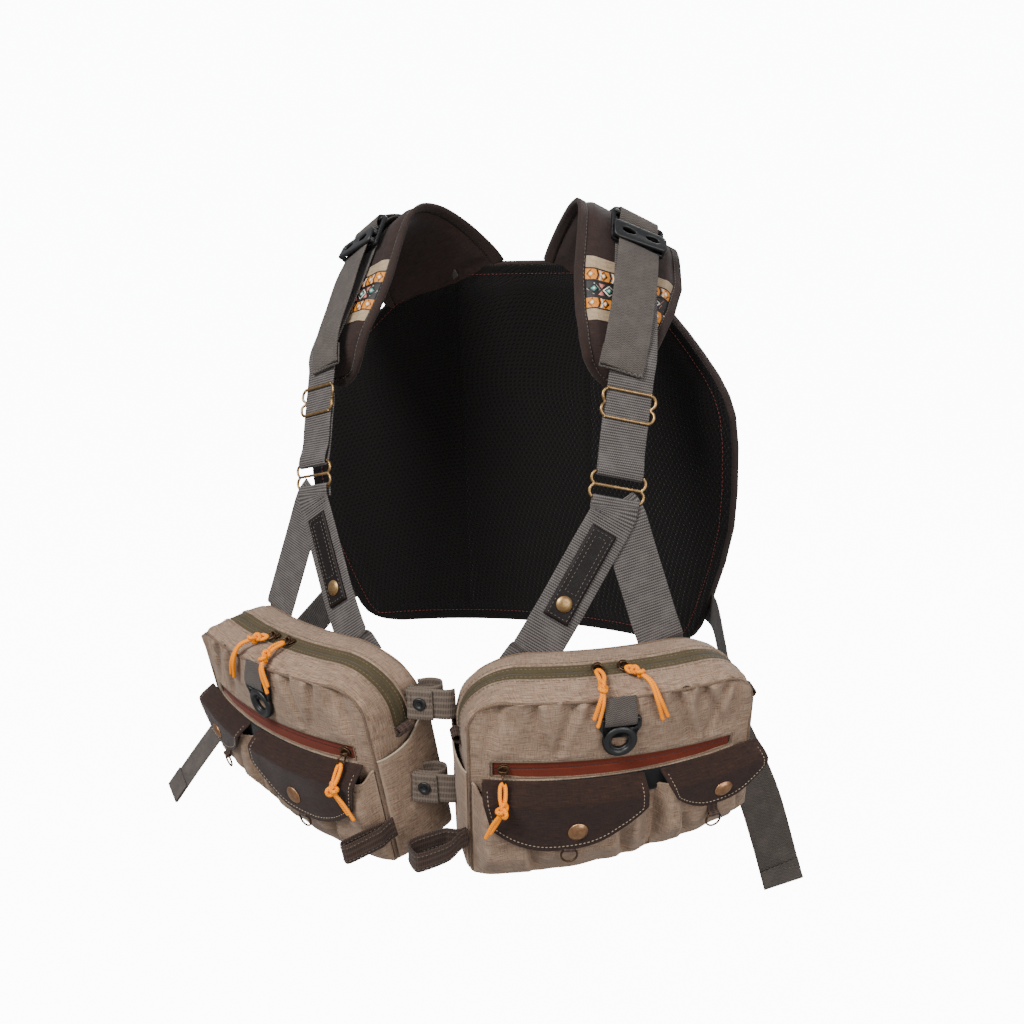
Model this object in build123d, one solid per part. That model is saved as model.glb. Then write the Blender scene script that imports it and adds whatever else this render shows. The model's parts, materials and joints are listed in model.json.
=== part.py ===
from build123d import *
import math
import os

# Fishing vest: two zipped front bags hung on a padded shoulder harness.
# Millimetres. +X is the wearer's left, -Y is the front, +Z is up. The origin is on the
# wearer's centre line, level with the lowest front edge of the bags.
# Every piece is modelled on the wearer's left and mirrored for the right.

# Webbing and clearances
WEBBING = 38.0
NARROW_WEBBING = 25.0
WEBBING_THICKNESS = 1.6
GAP = 0.4
TOUCH_GAP = 0.1

# Cutting shapes reach well past what they cut
THROUGH = 200.0
MARGIN = 5.0

# Bag
BAG_WIDTH = 228.0
BAG_HEIGHT = 160.0
BAG_DEPTH = 58.0
FRONT_RADIUS = 400.0
TOP_CORNER = 40.0
BOTTOM_CORNER = 14.0
WALL = 3.0
DIVIDER_FRONT = 12.5
DIVIDER_REAR = 15.0
BAG_ORIGIN = (139.0, -136.0, 0.0)
BAG_YAW = 27.0
BAG_TILT = 10.0

# Main zip, running over the top of the bag
MAIN_ZIP_MIDDLE = 29.0
MAIN_ZIP_WIDTH = 16.0
MAIN_ZIP_END_Z = 105.0
ZIP_THICKNESS = 1.0
ZIP_RECESS = 1.6
SLIT_WIDTH = 4.0
MAIN_SLIDER_S = 18.0

# Front zip, across the front panel
FRONT_ZIP_HALF_LENGTH = 94.0
FRONT_ZIP_Z = 93.0
FRONT_ZIP_HEIGHT = 11.0
FRONT_SLIDER_S = -87.0

# Zip sliders and their cord pulls
SLIDER_LENGTH = 7.0
SLIDER_WIDTH = 7.4
SLIDER_HEIGHT = 2.4
BRIDGE_LENGTH = 5.4
BRIDGE_THICKNESS = 1.6
BRIDGE_HEIGHT = 4.8
EYE_RADIUS = 1.5
EYE_HEIGHT = 4.9
PULL_RING_RADIUS = 4.6
PULL_RING_WIRE = 0.9
CORD_RADIUS = 2.0
KNOT_RADIUS = 3.6
MAIN_PULL_REACH = 34.0
MAIN_PULL_DROP = 24.0
FRONT_PULL_REACH = 20.0
FRONT_PULL_DROP = 28.0

# Flap pockets on the front panel: arc limits, bottom edge of the flap, snap place
POCKET_BOTTOM = 3.0
POCKET_TOP = 77.0
POCKET_BULGE = 15.5
POCKET_WALL = 1.5
POCKET_INSET = 2.0
FLAP_TOP = 82.6
FLAP_SIDE = 20.0
FLAP_OFFSET = 16.8
FLAP_THICKNESS = 1.5
INNER_FLAP = {"start": -80.0, "end": 22.0, "tip": 35.0, "snap": (-33.0, 46.0), "ring": -38.0}
OUTER_FLAP = {"start": 33.0, "end": 113.0, "tip": 42.0, "snap": (80.0, 56.0), "ring": 75.0}
SNAP_RADIUS = 6.2
SNAP_HEIGHT = 2.0
STUD_RADIUS = 4.0
STUD_HEIGHT = 0.8

# Side pocket on the inner side wall
SIDE_POCKET_BULGE = 4.0
SIDE_POCKET_WALL = 1.0
SIDE_POCKET_FRONT = 22.0
SIDE_POCKET_REAR = 74.0
SIDE_POCKET_BOTTOM = 26.0
SIDE_POCKET_TOP = 122.0

# Ring for tools, hung from a folded webbing tab on the front panel
RING_BAR_Z = 136.0
RING_BAR_OFFSET = 4.2
RING_BAR_RADIUS = 1.6
RING_BAR_INSET = 1.0
RING_WIDTH = 33.0
RING_SHOULDER_HEIGHT = 7.0
RING_SHOULDER_DROP = 3.0
RING_SLOT_WIDTH = 27.2
RING_SLOT_DEPTH = 7.7
RING_THICKNESS = 3.4
RING_EYE_Z = 118.0
RING_EYE_RADIUS = 6.0
RING_EYE_OUTER = 12.5
TAB_LOOP_INNER = 2.2
TAB_LOOP_OUTER = 3.6
TAB_TOP = 156.0
TAB_STITCH_Z = 148.0

# Small wire rings under the flaps
SMALL_RING_RADIUS = 6.2
SMALL_RING_WIRE = 0.8
SMALL_RING_DROP = 5.5
SMALL_RING_OFFSET = 17.9
SMALL_TAB = (1.6, 3.8, 5.0)
SMALL_TAB_SHIFT = 0.2
SMALL_TAB_EYE = 1.3

# Webbing loop at the inner bottom corner; each side hangs at its own heading
LOOP_HINGE = (-118.5, 12.0, 22.0)
LOOP_HEADINGS = {"left": 16.0, "right": 100.0}
LOOP_LENGTH = 42.0
LOOP_BULGE = 14.0
LOOP_HEIGHT = 16.0
LOOP_WALL = 2.0
LOOP_ROOT_HALF = 2.0
LOOP_HOLE_START = 5.0
LOOP_HOLE_ROOT_HALF = 0.6

# Zip end tab on the outer side wall
END_TAB = (7.0, 16.0, 8.0)
END_TAB_PLACE = (118.0, 46.0, 99.0)

# Centre straps between the bags
CENTRE_Y = -160.0
CENTRE_HALF_SPAN = 17.5
CENTRE_HEIGHTS = {"upper": 131.0, "lower": 58.0}
CENTRE_SNAP_X = -10.0
CENTRE_SNAP_RADIUS = 5.0
CENTRE_TAB_START = -16.5
CENTRE_TAB_END = -2.0
CENTRE_TAB_GAP = 1.0

# Shoulder frame: origin where the adjusting glide sits, X across the strap, Y backwards
GLIDE_POINT = (135.0, -40.0, 347.0)
STRAP_ACROSS = (0.87, 0.42, -0.25)
STRAP_BOTTOM = (-17.2, -42.0)
STRAP_BEND = (18.4, 45.0)
STRAP_TOP = (97.0, 133.0)
TAIL_END = (8.4, 28.0)
TAIL_BEND = (15.6, 45.6)
LOAD_STRAP_FOLD = ((0.0, 0.0), (-0.8, 3.0), (-3.8, 4.6), (-6.8, 3.0), (-7.6, 0.0))
GLIDE_TILT = -22.2
GLIDE_WIDTH = 47.0
GLIDE_HEIGHT = 26.0
GLIDE_WIRE = 2.2
GLIDE_CLEARANCE = 0.5
PAD_PATH = (
    (24.0, 8.0), (32.0, 45.0), (72.0, 92.0), (96.0, 120.0), (110.0, 133.0),
    (126.0, 139.0), (142.0, 135.0), (154.0, 120.0), (162.0, 96.0),
)
PAD_WEBBING_FOLD = ((-7.4, 27.0), (-7.4, 19.5), (-3.8, 16.2), (-0.2, 19.5), (-0.2, 28.0))
PAD_WEBBING_OVER = ((131.0, 147.5), (148.0, 143.5), (161.5, 124.0), (170.0, 98.5))
PAD_WEBBING_WIDTH = 36.0
PAD_WIDTH = 98.0
PAD_SHIFT = -2.0
PAD_THICKNESS = 10.0
PAD_CORNER = 24.0
LOCK_WIDTH = 48.0
LOCK_THICKNESS = 4.4
LOCK_CORNER = 3.0
LOCK_BOTTOM = -4.0
LOCK_TOP = 26.0
LOCK_SLOT_WIDTH = 41.0
LOCK_SLOTS = ((0.0, 9.0), (14.0, 20.0))
LOCK_OFFSET = 3.8

# V strap under the link glide, drawn flat in its own plane
V_MIDDLE = (124.5, -108.5, 170.0)
V_ACROSS = (0.892, 0.451, 0.0)
V_NORMAL = (0.436, -0.862, 0.260)
V_APEX = (24.6, 109.0)
V_FEET = (-50.0, 50.0)
V_HEAD = 40.0
LINK_GLIDE_Z = 122.2
LINK_GLIDE_HEIGHT = 24.0
LEATHER_WIDTH = 21.0
LEATHER_LENGTH = 78.0
LEATHER_START = 24.0
LEATHER_THICKNESS = 2.0
LEATHER_GAP = 0.5
LEATHER_SNAP_INSET = 12.0

# Back panel: three curved layers
PANEL_BACK_Y = 135.0
PANEL_RADIUS = 363.0
MESH_THICKNESS = 4.0
FOAM_THICKNESS = 8.0
FOAM_INSET = 4.0
COVER_THICKNESS = 2.0
PANEL_OUTLINE = (
    (170.0, 96.0), (206.0, 215.0), (204.0, 325.0), (125.0, 424.0), (84.0, 430.0), (64.0, 450.0), (30.0, 450.0),
)
PANEL_CORNER = 10.0
PANEL_CUT_HEIGHT = 500.0

# Waist belt and its hanging tail
BELT_START = (191.0, 88.0, 127.0)
BELT_END = (219.0, -10.0, 84.0)
TAIL_TOP = (238.0, -14.0, 75.0)
TAILS = {
    "left": {"foot": (266.0, -4.0, -88.0), "across": (0.86, 0.5, 0.0)},
    "right": {"foot": (294.0, -52.0, -77.0), "across": (0.35, 0.93, 0.0)},
}


# ---------- shared shapes ----------

def arc_point(s, n):
    """Point of the bag's plan at arc length s along the front face and n in front of it."""
    radius = FRONT_RADIUS + n
    angle = s / FRONT_RADIUS
    return (radius * math.sin(angle), FRONT_RADIUS - radius * math.cos(angle))


def curved_block(s_range, n_range, z_range):
    """Block that follows the curve of the bag's front face."""
    start, end = s_range
    inner, outer = n_range
    middle = (start + end) / 2
    far = ThreePointArc(arc_point(start, outer), arc_point(middle, outer), arc_point(end, outer))
    near = ThreePointArc(arc_point(start, inner), arc_point(middle, inner), arc_point(end, inner))
    sides = [Line(far @ 0, near @ 0), Line(far @ 1, near @ 1)]
    face = make_face([far, near, *sides])
    low, high = z_range
    return Pos(0, 0, low) * extrude(face, amount=high - low)


def face_place(s, n, z):
    """Location on the front face, turned to the face's own direction there."""
    x, y = arc_point(s, n)
    return Pos(x, y, z) * Rot(0, 0, math.degrees(s / FRONT_RADIUS))


def box_between(x_range, y_range, z_range):
    """Axis-aligned box from three pairs of limits."""
    size = [high - low for low, high in (x_range, y_range, z_range)]
    centre = [(high + low) / 2 for low, high in (x_range, y_range, z_range)]
    return Pos(*centre) * Box(*size)


def rod(start, end, radius):
    """Round bar between two points."""
    line = Line(start, end)
    plane = Plane(origin=start, z_dir=line % 0)
    return extrude(plane * Circle(radius), amount=line.length)


def elevation_block(inset):
    """The bag's front outline, set in by inset and extruded through its whole depth."""
    width = BAG_WIDTH - 2 * inset
    height = BAG_HEIGHT - 2 * inset
    outline = Rectangle(width, height)
    corners = outline.vertices().sort_by(Axis.Y)
    outline = fillet(corners[2:], TOP_CORNER - inset)
    corners = outline.vertices().sort_by(Axis.Y)
    outline = fillet(corners[:2], BOTTOM_CORNER - inset)
    return extrude(Plane.XZ * Pos(0, BAG_HEIGHT / 2) * outline, amount=THROUGH, both=True)


def slab(n_range):
    """Layer of the bag between two depths, wider and taller than the bag."""
    reach = BAG_WIDTH / 2 + 5 * MARGIN
    return curved_block((-reach, reach), n_range, (-MARGIN, BAG_HEIGHT + MARGIN))


def band(points, thickness, width):
    """Strip of webbing: a path in the YZ plane, thickened and extruded along X."""
    sides = ([], [])
    for i, point in enumerate(points):
        before = points[max(i - 1, 0)]
        after = points[min(i + 1, len(points) - 1)]
        along = (Vector(0, *after) - Vector(0, *before)).normalized()
        across = Vector(0, -along.Z, along.Y) * (thickness / 2)
        sides[0].append(Vector(0, *point) + across)
        sides[1].append(Vector(0, *point) - across)
    outline = Polyline(*sides[0], *reversed(sides[1]), close=True)
    return extrude(make_face(outline), amount=width / 2, dir=(1, 0, 0), both=True)


def strip(start, end, width):
    """Flat strip between two points of a sketch plane."""
    line = Line(start, end)
    centre = line @ 0.5
    angle = math.degrees(math.atan2(end[1] - start[1], end[0] - start[0]))
    return Pos(centre.X, centre.Y) * Rot(0, 0, angle) * Rectangle(line.length, width)


# ---------- frames ----------

BAG = Pos(*BAG_ORIGIN) * Rot(0, 0, BAG_YAW) * Rot(BAG_TILT, 0, 0)
V_PLANE = Location(Plane(origin=V_MIDDLE, x_dir=V_ACROSS, z_dir=V_NORMAL))


def shoulder_frame():
    """X across the strap, Y backwards, Z up along the strap's plane."""
    across = Vector(*STRAP_ACROSS).normalized()
    up = (Vector(0, 0, 1) - across * across.Z).normalized()
    return Location(Plane(origin=GLIDE_POINT, x_dir=across, z_dir=up))


SHOULDER = shoulder_frame()


def lock_frame():
    """Frame on the upper strap run: X across, Y into the shoulder, Z up along the strap."""
    run = math.atan2(STRAP_TOP[0] - STRAP_BEND[0], STRAP_TOP[1] - STRAP_BEND[1])
    return SHOULDER * Pos(0, *STRAP_TOP) * Rot(-math.degrees(run), 0, 0)


LOCK = lock_frame()


# ---------- bag ----------

def bag_shell():
    """Sewn bag: outer skin, a divider behind the front pocket, and the two zip openings."""
    skin = elevation_block(0) & slab((-BAG_DEPTH, 0))
    inside = elevation_block(WALL)
    main_space = inside & slab((-BAG_DEPTH + WALL, -DIVIDER_REAR))
    front_space = inside & slab((-DIVIDER_FRONT, -WALL))
    shell = skin - main_space - front_space
    shell -= zip_band(MAIN_ZIP_WIDTH, 0, ZIP_RECESS, MAIN_ZIP_END_Z)
    shell -= zip_band(SLIT_WIDTH, 0, WALL + GAP, MAIN_ZIP_END_Z + SLIT_WIDTH)
    half = FRONT_ZIP_HALF_LENGTH
    low = FRONT_ZIP_Z - FRONT_ZIP_HEIGHT / 2
    window = curved_block((-half, half), (-WALL - GAP, GAP), (low, low + FRONT_ZIP_HEIGHT))
    return shell - window


def zip_band(width, top_inset, bottom_inset, end_z):
    """Band that follows the bag's outline over the top, between two insets."""
    middle = -MAIN_ZIP_MIDDLE
    layer = slab((middle - width / 2, middle + width / 2))
    ring = elevation_block(top_inset) - elevation_block(bottom_inset)
    above = box_between((-THROUGH, THROUGH), (-THROUGH, THROUGH), (end_z, BAG_HEIGHT + MARGIN))
    return ring & layer & above


def main_zip_tape():
    """Closed zip tape lying in its recess over the top of the bag."""
    depth = (GAP / 2, GAP / 2 + ZIP_THICKNESS)
    return zip_band(MAIN_ZIP_WIDTH - GAP, *depth, MAIN_ZIP_END_Z + GAP)


def front_zip_tape():
    """Closed zip tape in the window of the front panel."""
    half = FRONT_ZIP_HALF_LENGTH - GAP
    rise = FRONT_ZIP_HEIGHT / 2 - GAP
    depth = (-ZIP_THICKNESS - 2 * GAP, -2 * GAP)
    return curved_block((-half, half), depth, (FRONT_ZIP_Z - rise, FRONT_ZIP_Z + rise))


def slider():
    """Zip slider standing on the XY plane, its bridge pierced along X by the eye."""
    body = Pos(0, 0, SLIDER_HEIGHT / 2) * Box(SLIDER_LENGTH, SLIDER_WIDTH, SLIDER_HEIGHT)
    bridge_height = BRIDGE_HEIGHT + SLIDER_HEIGHT / 2
    bridge = Box(BRIDGE_THICKNESS, BRIDGE_LENGTH, bridge_height)
    bridge = Pos(0, 0, SLIDER_HEIGHT / 2 + bridge_height / 2) * bridge
    eye = rod((-SLIDER_LENGTH, 0, EYE_HEIGHT), (SLIDER_LENGTH, 0, EYE_HEIGHT), EYE_RADIUS)
    return body + bridge - eye


def pull(reach, drop):
    """Wire ring through the slider's eye and the knotted cord on it, bent down at its end."""
    ring = Pos(0, -PULL_RING_RADIUS, 0) * Torus(PULL_RING_RADIUS, PULL_RING_WIRE)
    start = (0, -2 * PULL_RING_RADIUS - PULL_RING_WIRE - GAP, 0)
    corner = (0, -reach, 0)
    end = (0, -reach, -drop)
    cord = rod(start, corner, CORD_RADIUS) + rod(corner, end, CORD_RADIUS)
    cord += Pos(*corner) * Sphere(CORD_RADIUS)
    cord += Pos(0, -reach, -drop / 2) * Sphere(KNOT_RADIUS)
    return [ring, cord]


def main_slider_place(s):
    """Where a main zip slider stands on the top of the bag."""
    return face_place(s, -MAIN_ZIP_MIDDLE, BAG_HEIGHT + GAP)


def front_slider_place():
    """Where the front slider stands on its tape, its height pointing out of the panel."""
    return face_place(FRONT_SLIDER_S, -GAP, FRONT_ZIP_Z) * Rot(90, 0, 0)


def pull_on_top(s):
    """Pull of a main slider, lying forward over the top and hanging down in front."""
    place = main_slider_place(s) * Pos(0, 0, EYE_HEIGHT)
    return [place * solid for solid in pull(MAIN_PULL_REACH, MAIN_PULL_DROP)]


def pull_on_front():
    """Pull of the front slider, reaching out past the flap and hanging down."""
    place = face_place(FRONT_SLIDER_S, EYE_HEIGHT - GAP, FRONT_ZIP_Z)
    return [place * solid for solid in pull(FRONT_PULL_REACH, FRONT_PULL_DROP)]


# ---------- pockets, flaps and snaps ----------

def flap_pocket(flap):
    """Open-topped pocket on the front panel, and the fixed top edge its flap hangs from."""
    outside = (flap["start"] + POCKET_INSET, flap["end"] - POCKET_INSET)
    inside = (outside[0] + POCKET_WALL, outside[1] - POCKET_WALL)
    pocket = curved_block(outside, (GAP, POCKET_BULGE), (POCKET_BOTTOM, POCKET_TOP))
    depth = (GAP + POCKET_WALL, POCKET_BULGE - POCKET_WALL)
    pocket -= curved_block(inside, depth, (POCKET_BOTTOM + POCKET_WALL, POCKET_TOP + MARGIN))
    edge_depth = (GAP, FLAP_OFFSET - 1)
    edge = curved_block(outside, edge_depth, (FLAP_TOP - FLAP_THICKNESS, FLAP_TOP))
    return [pocket, edge]


def side_pocket():
    """Thin open-topped pocket on the inner side wall."""
    wall_x = -BAG_WIDTH / 2 - GAP
    depth = (SIDE_POCKET_FRONT, SIDE_POCKET_REAR)
    height = (SIDE_POCKET_BOTTOM, SIDE_POCKET_TOP)
    pocket = box_between((wall_x - SIDE_POCKET_BULGE, wall_x), depth, height)
    wall = SIDE_POCKET_WALL
    hollow = box_between(
        (wall_x - SIDE_POCKET_BULGE + wall, wall_x - wall),
        (depth[0] + wall, depth[1] - wall),
        (height[0] + wall, height[1] + MARGIN),
    )
    return pocket - hollow


def flap_outline(flap):
    """Block whose front elevation is the flap: straight top corners, rounded lower edge."""
    start, end = arc_point(flap["start"], 0)[0], arc_point(flap["end"], 0)[0]
    corner_z = FLAP_TOP - FLAP_SIDE
    top = Line((start, FLAP_TOP), (end, FLAP_TOP))
    right = Line((end, FLAP_TOP), (end, corner_z))
    left = Line((start, FLAP_TOP), (start, corner_z))
    tip = ((start + end) / 2, flap["tip"])
    lower = ThreePointArc((start, corner_z), tip, (end, corner_z))
    return extrude(Plane.XZ * make_face([top, right, left, lower]), amount=THROUGH, both=True)


def flap_plate(flap):
    """Curved flap plate over its pocket, and the cap of its snap."""
    depth = (FLAP_OFFSET, FLAP_OFFSET + FLAP_THICKNESS)
    plate = curved_block((flap["start"], flap["end"]), depth, (POCKET_BOTTOM, FLAP_TOP))
    plate &= flap_outline(flap)
    return [plate, snap_disc(flap, depth[1] + TOUCH_GAP, SNAP_RADIUS, SNAP_HEIGHT)]


def snap_disc(flap, offset, radius, height):
    """Round snap part standing out from the face at the flap's snap place."""
    s, z = flap["snap"]
    return face_place(s, offset, z) * Rot(90, 0, 0) * Pos(0, 0, height / 2) * Cylinder(radius, height)


def snap_studs():
    """Studs on the pockets under the flaps."""
    offset = POCKET_BULGE + TOUCH_GAP
    return [snap_disc(f, offset, STUD_RADIUS, STUD_HEIGHT) for f in (INNER_FLAP, OUTER_FLAP)]


# ---------- rings and loops ----------

def ring_tab():
    """Folded webbing tab, open at its lower fold for the bar of the tool ring."""
    half = NARROW_WEBBING / 2
    bar = (RING_BAR_OFFSET, RING_BAR_Z)
    outer = tab_profile(TAB_LOOP_OUTER, TAB_TOP)
    inner = tab_profile(TAB_LOOP_INNER, TAB_STITCH_Z)
    solid = extrude(Plane.YZ * (outer - inner), amount=half, both=True)
    return Pos(0, -bar[0], bar[1]) * solid


def tab_profile(radius, top_z):
    """Slot-shaped profile of the folded tab around the ring's bar."""
    rise = top_z - RING_BAR_Z
    return Circle(radius) + Pos(0, rise / 2) * Rectangle(2 * radius, rise)


def tool_ring():
    """Moulded ring: round bar in the tab, two arms, and a round eye below."""
    eye_drop = RING_BAR_Z - RING_EYE_Z
    shoulder = Pos(0, -RING_SHOULDER_DROP) * Rectangle(RING_WIDTH, RING_SHOULDER_HEIGHT)
    plate = make_hull((shoulder + Pos(0, -eye_drop) * Circle(RING_EYE_OUTER)).edges())
    slot_height = RING_SLOT_DEPTH + MARGIN
    plate -= Pos(0, MARGIN - slot_height / 2) * Rectangle(RING_SLOT_WIDTH, slot_height)
    plate -= Pos(0, -eye_drop) * Circle(RING_EYE_RADIUS)
    ring = extrude(plate, amount=RING_THICKNESS / 2, both=True)
    reach = RING_WIDTH / 2 - RING_BAR_INSET
    ring += rod((-reach, 0, 0), (reach, 0, 0), RING_BAR_RADIUS)
    return Pos(0, -RING_BAR_OFFSET, RING_BAR_Z) * Rot(90, 0, 0) * ring


def small_ring_place(flap):
    """Hinge point of a small ring, below the tip of its flap."""
    return face_place(flap["ring"], SMALL_RING_OFFSET, flap["tip"] - SMALL_RING_DROP)


def small_ring(flap):
    """Wire ring hanging from its tab."""
    ring = Rot(90, 0, 0) * Torus(SMALL_RING_RADIUS, SMALL_RING_WIRE)
    return small_ring_place(flap) * Pos(0, 0, -SMALL_RING_RADIUS) * ring


def small_tab(flap):
    """Tab with the eye that a small ring passes through."""
    tab = Pos(0, SMALL_TAB_SHIFT, 0) * Box(*SMALL_TAB)
    eye = rod((-MARGIN, 0, 0), (MARGIN, 0, 0), SMALL_TAB_EYE)
    return small_ring_place(flap) * (tab - eye)


def end_tab():
    """Folded tab at the outer end of the main zip."""
    return Pos(*END_TAB_PLACE) * Box(*END_TAB)


def rod_loop(heading):
    """Loop of webbing that stands out from the inner bottom corner, turned to its heading."""
    half = LOOP_BULGE / 2
    outer = loop_outline(0, LOOP_LENGTH, half, LOOP_ROOT_HALF)
    inner = loop_outline(LOOP_HOLE_START, LOOP_LENGTH - LOOP_WALL, half - LOOP_WALL, LOOP_HOLE_ROOT_HALF)
    loop = extrude(outer - inner, amount=LOOP_HEIGHT)
    return Pos(*LOOP_HINGE) * Rot(0, 0, heading) * loop


def loop_outline(root, tip, half, root_half):
    """Plan of the loop: a narrow root, two bowed sides and a blunt tip."""
    middle = (root + tip) / 2
    side = ((-root, root_half), (-middle, half), (-tip, half))
    other = [(x, -y) for x, y in reversed(side)]
    return make_face(Polyline(*side, *other, close=True))


# ---------- centre straps ----------

def centre_strap(height):
    """Strap from the left bag across to the right one, with the cap of its snap."""
    y_range = (CENTRE_Y - WEBBING_THICKNESS / 2, CENTRE_Y + WEBBING_THICKNESS / 2)
    half = NARROW_WEBBING / 2
    x_range = (-CENTRE_HALF_SPAN, CENTRE_HALF_SPAN)
    plate = box_between(x_range, y_range, (height - half, height + half))
    place = Pos(CENTRE_SNAP_X, y_range[0] - TOUCH_GAP, height) * Rot(90, 0, 0)
    cap = place * Pos(0, 0, SNAP_HEIGHT / 2) * Cylinder(CENTRE_SNAP_RADIUS, SNAP_HEIGHT)
    return [plate, cap]


def centre_tab(height):
    """Tab on the right bag, just behind the strap, with the stud of the snap."""
    front = CENTRE_Y + WEBBING_THICKNESS / 2 + CENTRE_TAB_GAP
    half = NARROW_WEBBING / 2
    x_range = (CENTRE_TAB_START, CENTRE_TAB_END)
    plate = box_between(x_range, (front, front + WEBBING_THICKNESS), (height - half, height + half))
    stud_height = CENTRE_TAB_GAP - GAP
    stud = Rot(90, 0, 0) * Pos(0, 0, stud_height / 2) * Cylinder(STUD_RADIUS, stud_height)
    return plate + Pos(CENTRE_SNAP_X, front, height) * stud


# ---------- harness ----------

def load_strap():
    """Strap from the link glide up through the lock, folded over its rail, with a free tail."""
    back = [STRAP_BOTTOM, STRAP_BEND]
    over = [shoulder_point(point) for point in LOAD_STRAP_FOLD]
    path = back + over + [TAIL_BEND, TAIL_END]
    return SHOULDER * band(path, WEBBING_THICKNESS, WEBBING)


def shoulder_point(point):
    """A point of the lock frame, as (y, z) in the shoulder frame."""
    run = math.atan2(STRAP_TOP[0] - STRAP_BEND[0], STRAP_TOP[1] - STRAP_BEND[1])
    y, z = point
    return (
        STRAP_TOP[0] + y * math.cos(run) + z * math.sin(run),
        STRAP_TOP[1] - y * math.sin(run) + z * math.cos(run),
    )


def shoulder_lock():
    """Ladder lock: a plate with two slots and the rails between them."""
    y_range = (-LOCK_OFFSET - LOCK_THICKNESS / 2, -LOCK_OFFSET + LOCK_THICKNESS / 2)
    half = LOCK_WIDTH / 2
    lock = box_between((-half, half), y_range, (LOCK_BOTTOM, LOCK_TOP))
    lock = fillet(lock.edges().filter_by(Axis.Y), LOCK_CORNER)
    slot_half = LOCK_SLOT_WIDTH / 2
    for limits in LOCK_SLOTS:
        lock -= box_between((-slot_half, slot_half), (-THROUGH, THROUGH), limits)
    return LOCK * lock


def pad_webbing():
    """Webbing that holds the lock: through its upper slot and back over the shoulder."""
    lower = [shoulder_point(point) for point in PAD_WEBBING_FOLD]
    return SHOULDER * band([*lower, *PAD_WEBBING_OVER], WEBBING_THICKNESS, PAD_WEBBING_WIDTH)


def shoulder_pad():
    """Curved pad from the chest over the shoulder, with rounded front corners."""
    pad = band(PAD_PATH, PAD_THICKNESS, PAD_WIDTH)
    front = Rectangle(PAD_WIDTH, 2 * THROUGH)
    front = fillet(front.vertices().sort_by(Axis.Y)[:2], PAD_CORNER)
    pad &= extrude(Plane.XZ * Pos(0, THROUGH + PAD_PATH[0][1]) * front, amount=THROUGH, both=True)
    return SHOULDER * Pos(PAD_SHIFT, 0, 0) * pad


def wire_frame(width, height):
    """Flat rectangular wire frame in the XZ plane."""
    frame = Box(width, GLIDE_WIRE, height)
    frame -= Box(width - 2 * GLIDE_WIRE, GLIDE_WIRE, height - 2 * GLIDE_WIRE)
    return frame


def adjust_glide():
    """Three-bar glide: rails in front of the strap, middle bar behind it."""
    clear = WEBBING_THICKNESS / 2 + GLIDE_CLEARANCE + GLIDE_WIRE / 2
    glide = Pos(0, -clear, 0) * wire_frame(GLIDE_WIDTH, GLIDE_HEIGHT)
    side = GLIDE_WIDTH / 2 - GLIDE_WIRE / 2
    depth = (-clear - GLIDE_WIRE / 2, clear + GLIDE_WIRE / 2)
    half = GLIDE_WIRE / 2
    for x in (-side, side):
        glide += box_between((x - half, x + half), depth, (-half, half))
    bar = box_between((-side, side), (clear - half, clear + half), (-half, half))
    return SHOULDER * Rot(GLIDE_TILT, 0, 0) * (glide + bar)


def link_glide():
    """Three-bar glide that joins the load strap to the V strap."""
    frame = wire_frame(GLIDE_WIDTH, LINK_GLIDE_HEIGHT) + Box(GLIDE_WIDTH, GLIDE_WIRE, GLIDE_WIRE)
    return V_PLANE * Pos(V_APEX[0], LINK_GLIDE_Z, 0) * Rot(-90, 0, 0) * frame


def v_strap():
    """Two legs of webbing from the link glide to the rear top edge of the bag."""
    legs = Sketch() + [strip(V_APEX, (foot, 0), WEBBING) for foot in V_FEET]
    top = Pos(V_APEX[0], V_APEX[1] - V_HEAD / 2) * Rectangle(WEBBING, V_HEAD)
    above_feet = Pos(0, THROUGH / 2) * Rectangle(2 * THROUGH, THROUGH)
    below_apex = Pos(0, V_APEX[1] - THROUGH) * Rectangle(2 * THROUGH, 2 * THROUGH)
    outline = (legs + top) & above_feet & below_apex
    return V_PLANE * extrude(outline, amount=WEBBING_THICKNESS / 2, both=True)


def leather_frame():
    """Frame on the inner leg: origin at the strip's top end, Y down along the leg."""
    angle = math.degrees(math.atan2(-V_APEX[1], V_FEET[0] - V_APEX[0]))
    return V_PLANE * Pos(*V_APEX) * Rot(0, 0, angle - 90) * Pos(0, LEATHER_START)


def leather_tab():
    """Leather strip over the inner leg, sewn at its top and snapped at its foot."""
    rise = WEBBING_THICKNESS / 2 + LEATHER_GAP
    top = rise + LEATHER_THICKNESS
    tab = box_between((-LEATHER_WIDTH / 2, LEATHER_WIDTH / 2), (0, LEATHER_LENGTH), (rise, top))
    cap = Pos(0, LEATHER_LENGTH - LEATHER_SNAP_INSET, top + TOUCH_GAP + SNAP_HEIGHT / 2)
    cap *= Cylinder(SNAP_RADIUS, SNAP_HEIGHT)
    return [leather_frame() * solid for solid in (tab, cap)]


def panel_layer(front, thickness, inset):
    """One curved layer of the back panel, front mm behind the panel's front surface."""
    outer = PANEL_RADIUS + front + thickness
    centre = (0, PANEL_BACK_Y - PANEL_RADIUS)
    ring = Circle(outer) - Circle(outer - thickness)
    layer = extrude(Pos(*centre) * ring, amount=PANEL_CUT_HEIGHT)
    points = [(x - inset, z) for x, z in PANEL_OUTLINE]
    mirrored = [(-x, z) for x, z in reversed(points)]
    outline = make_face(Polyline(*points, *mirrored, close=True))
    outline = fillet(outline.vertices(), PANEL_CORNER)
    return layer & extrude(Plane.XZ * outline, amount=-THROUGH)


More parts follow.
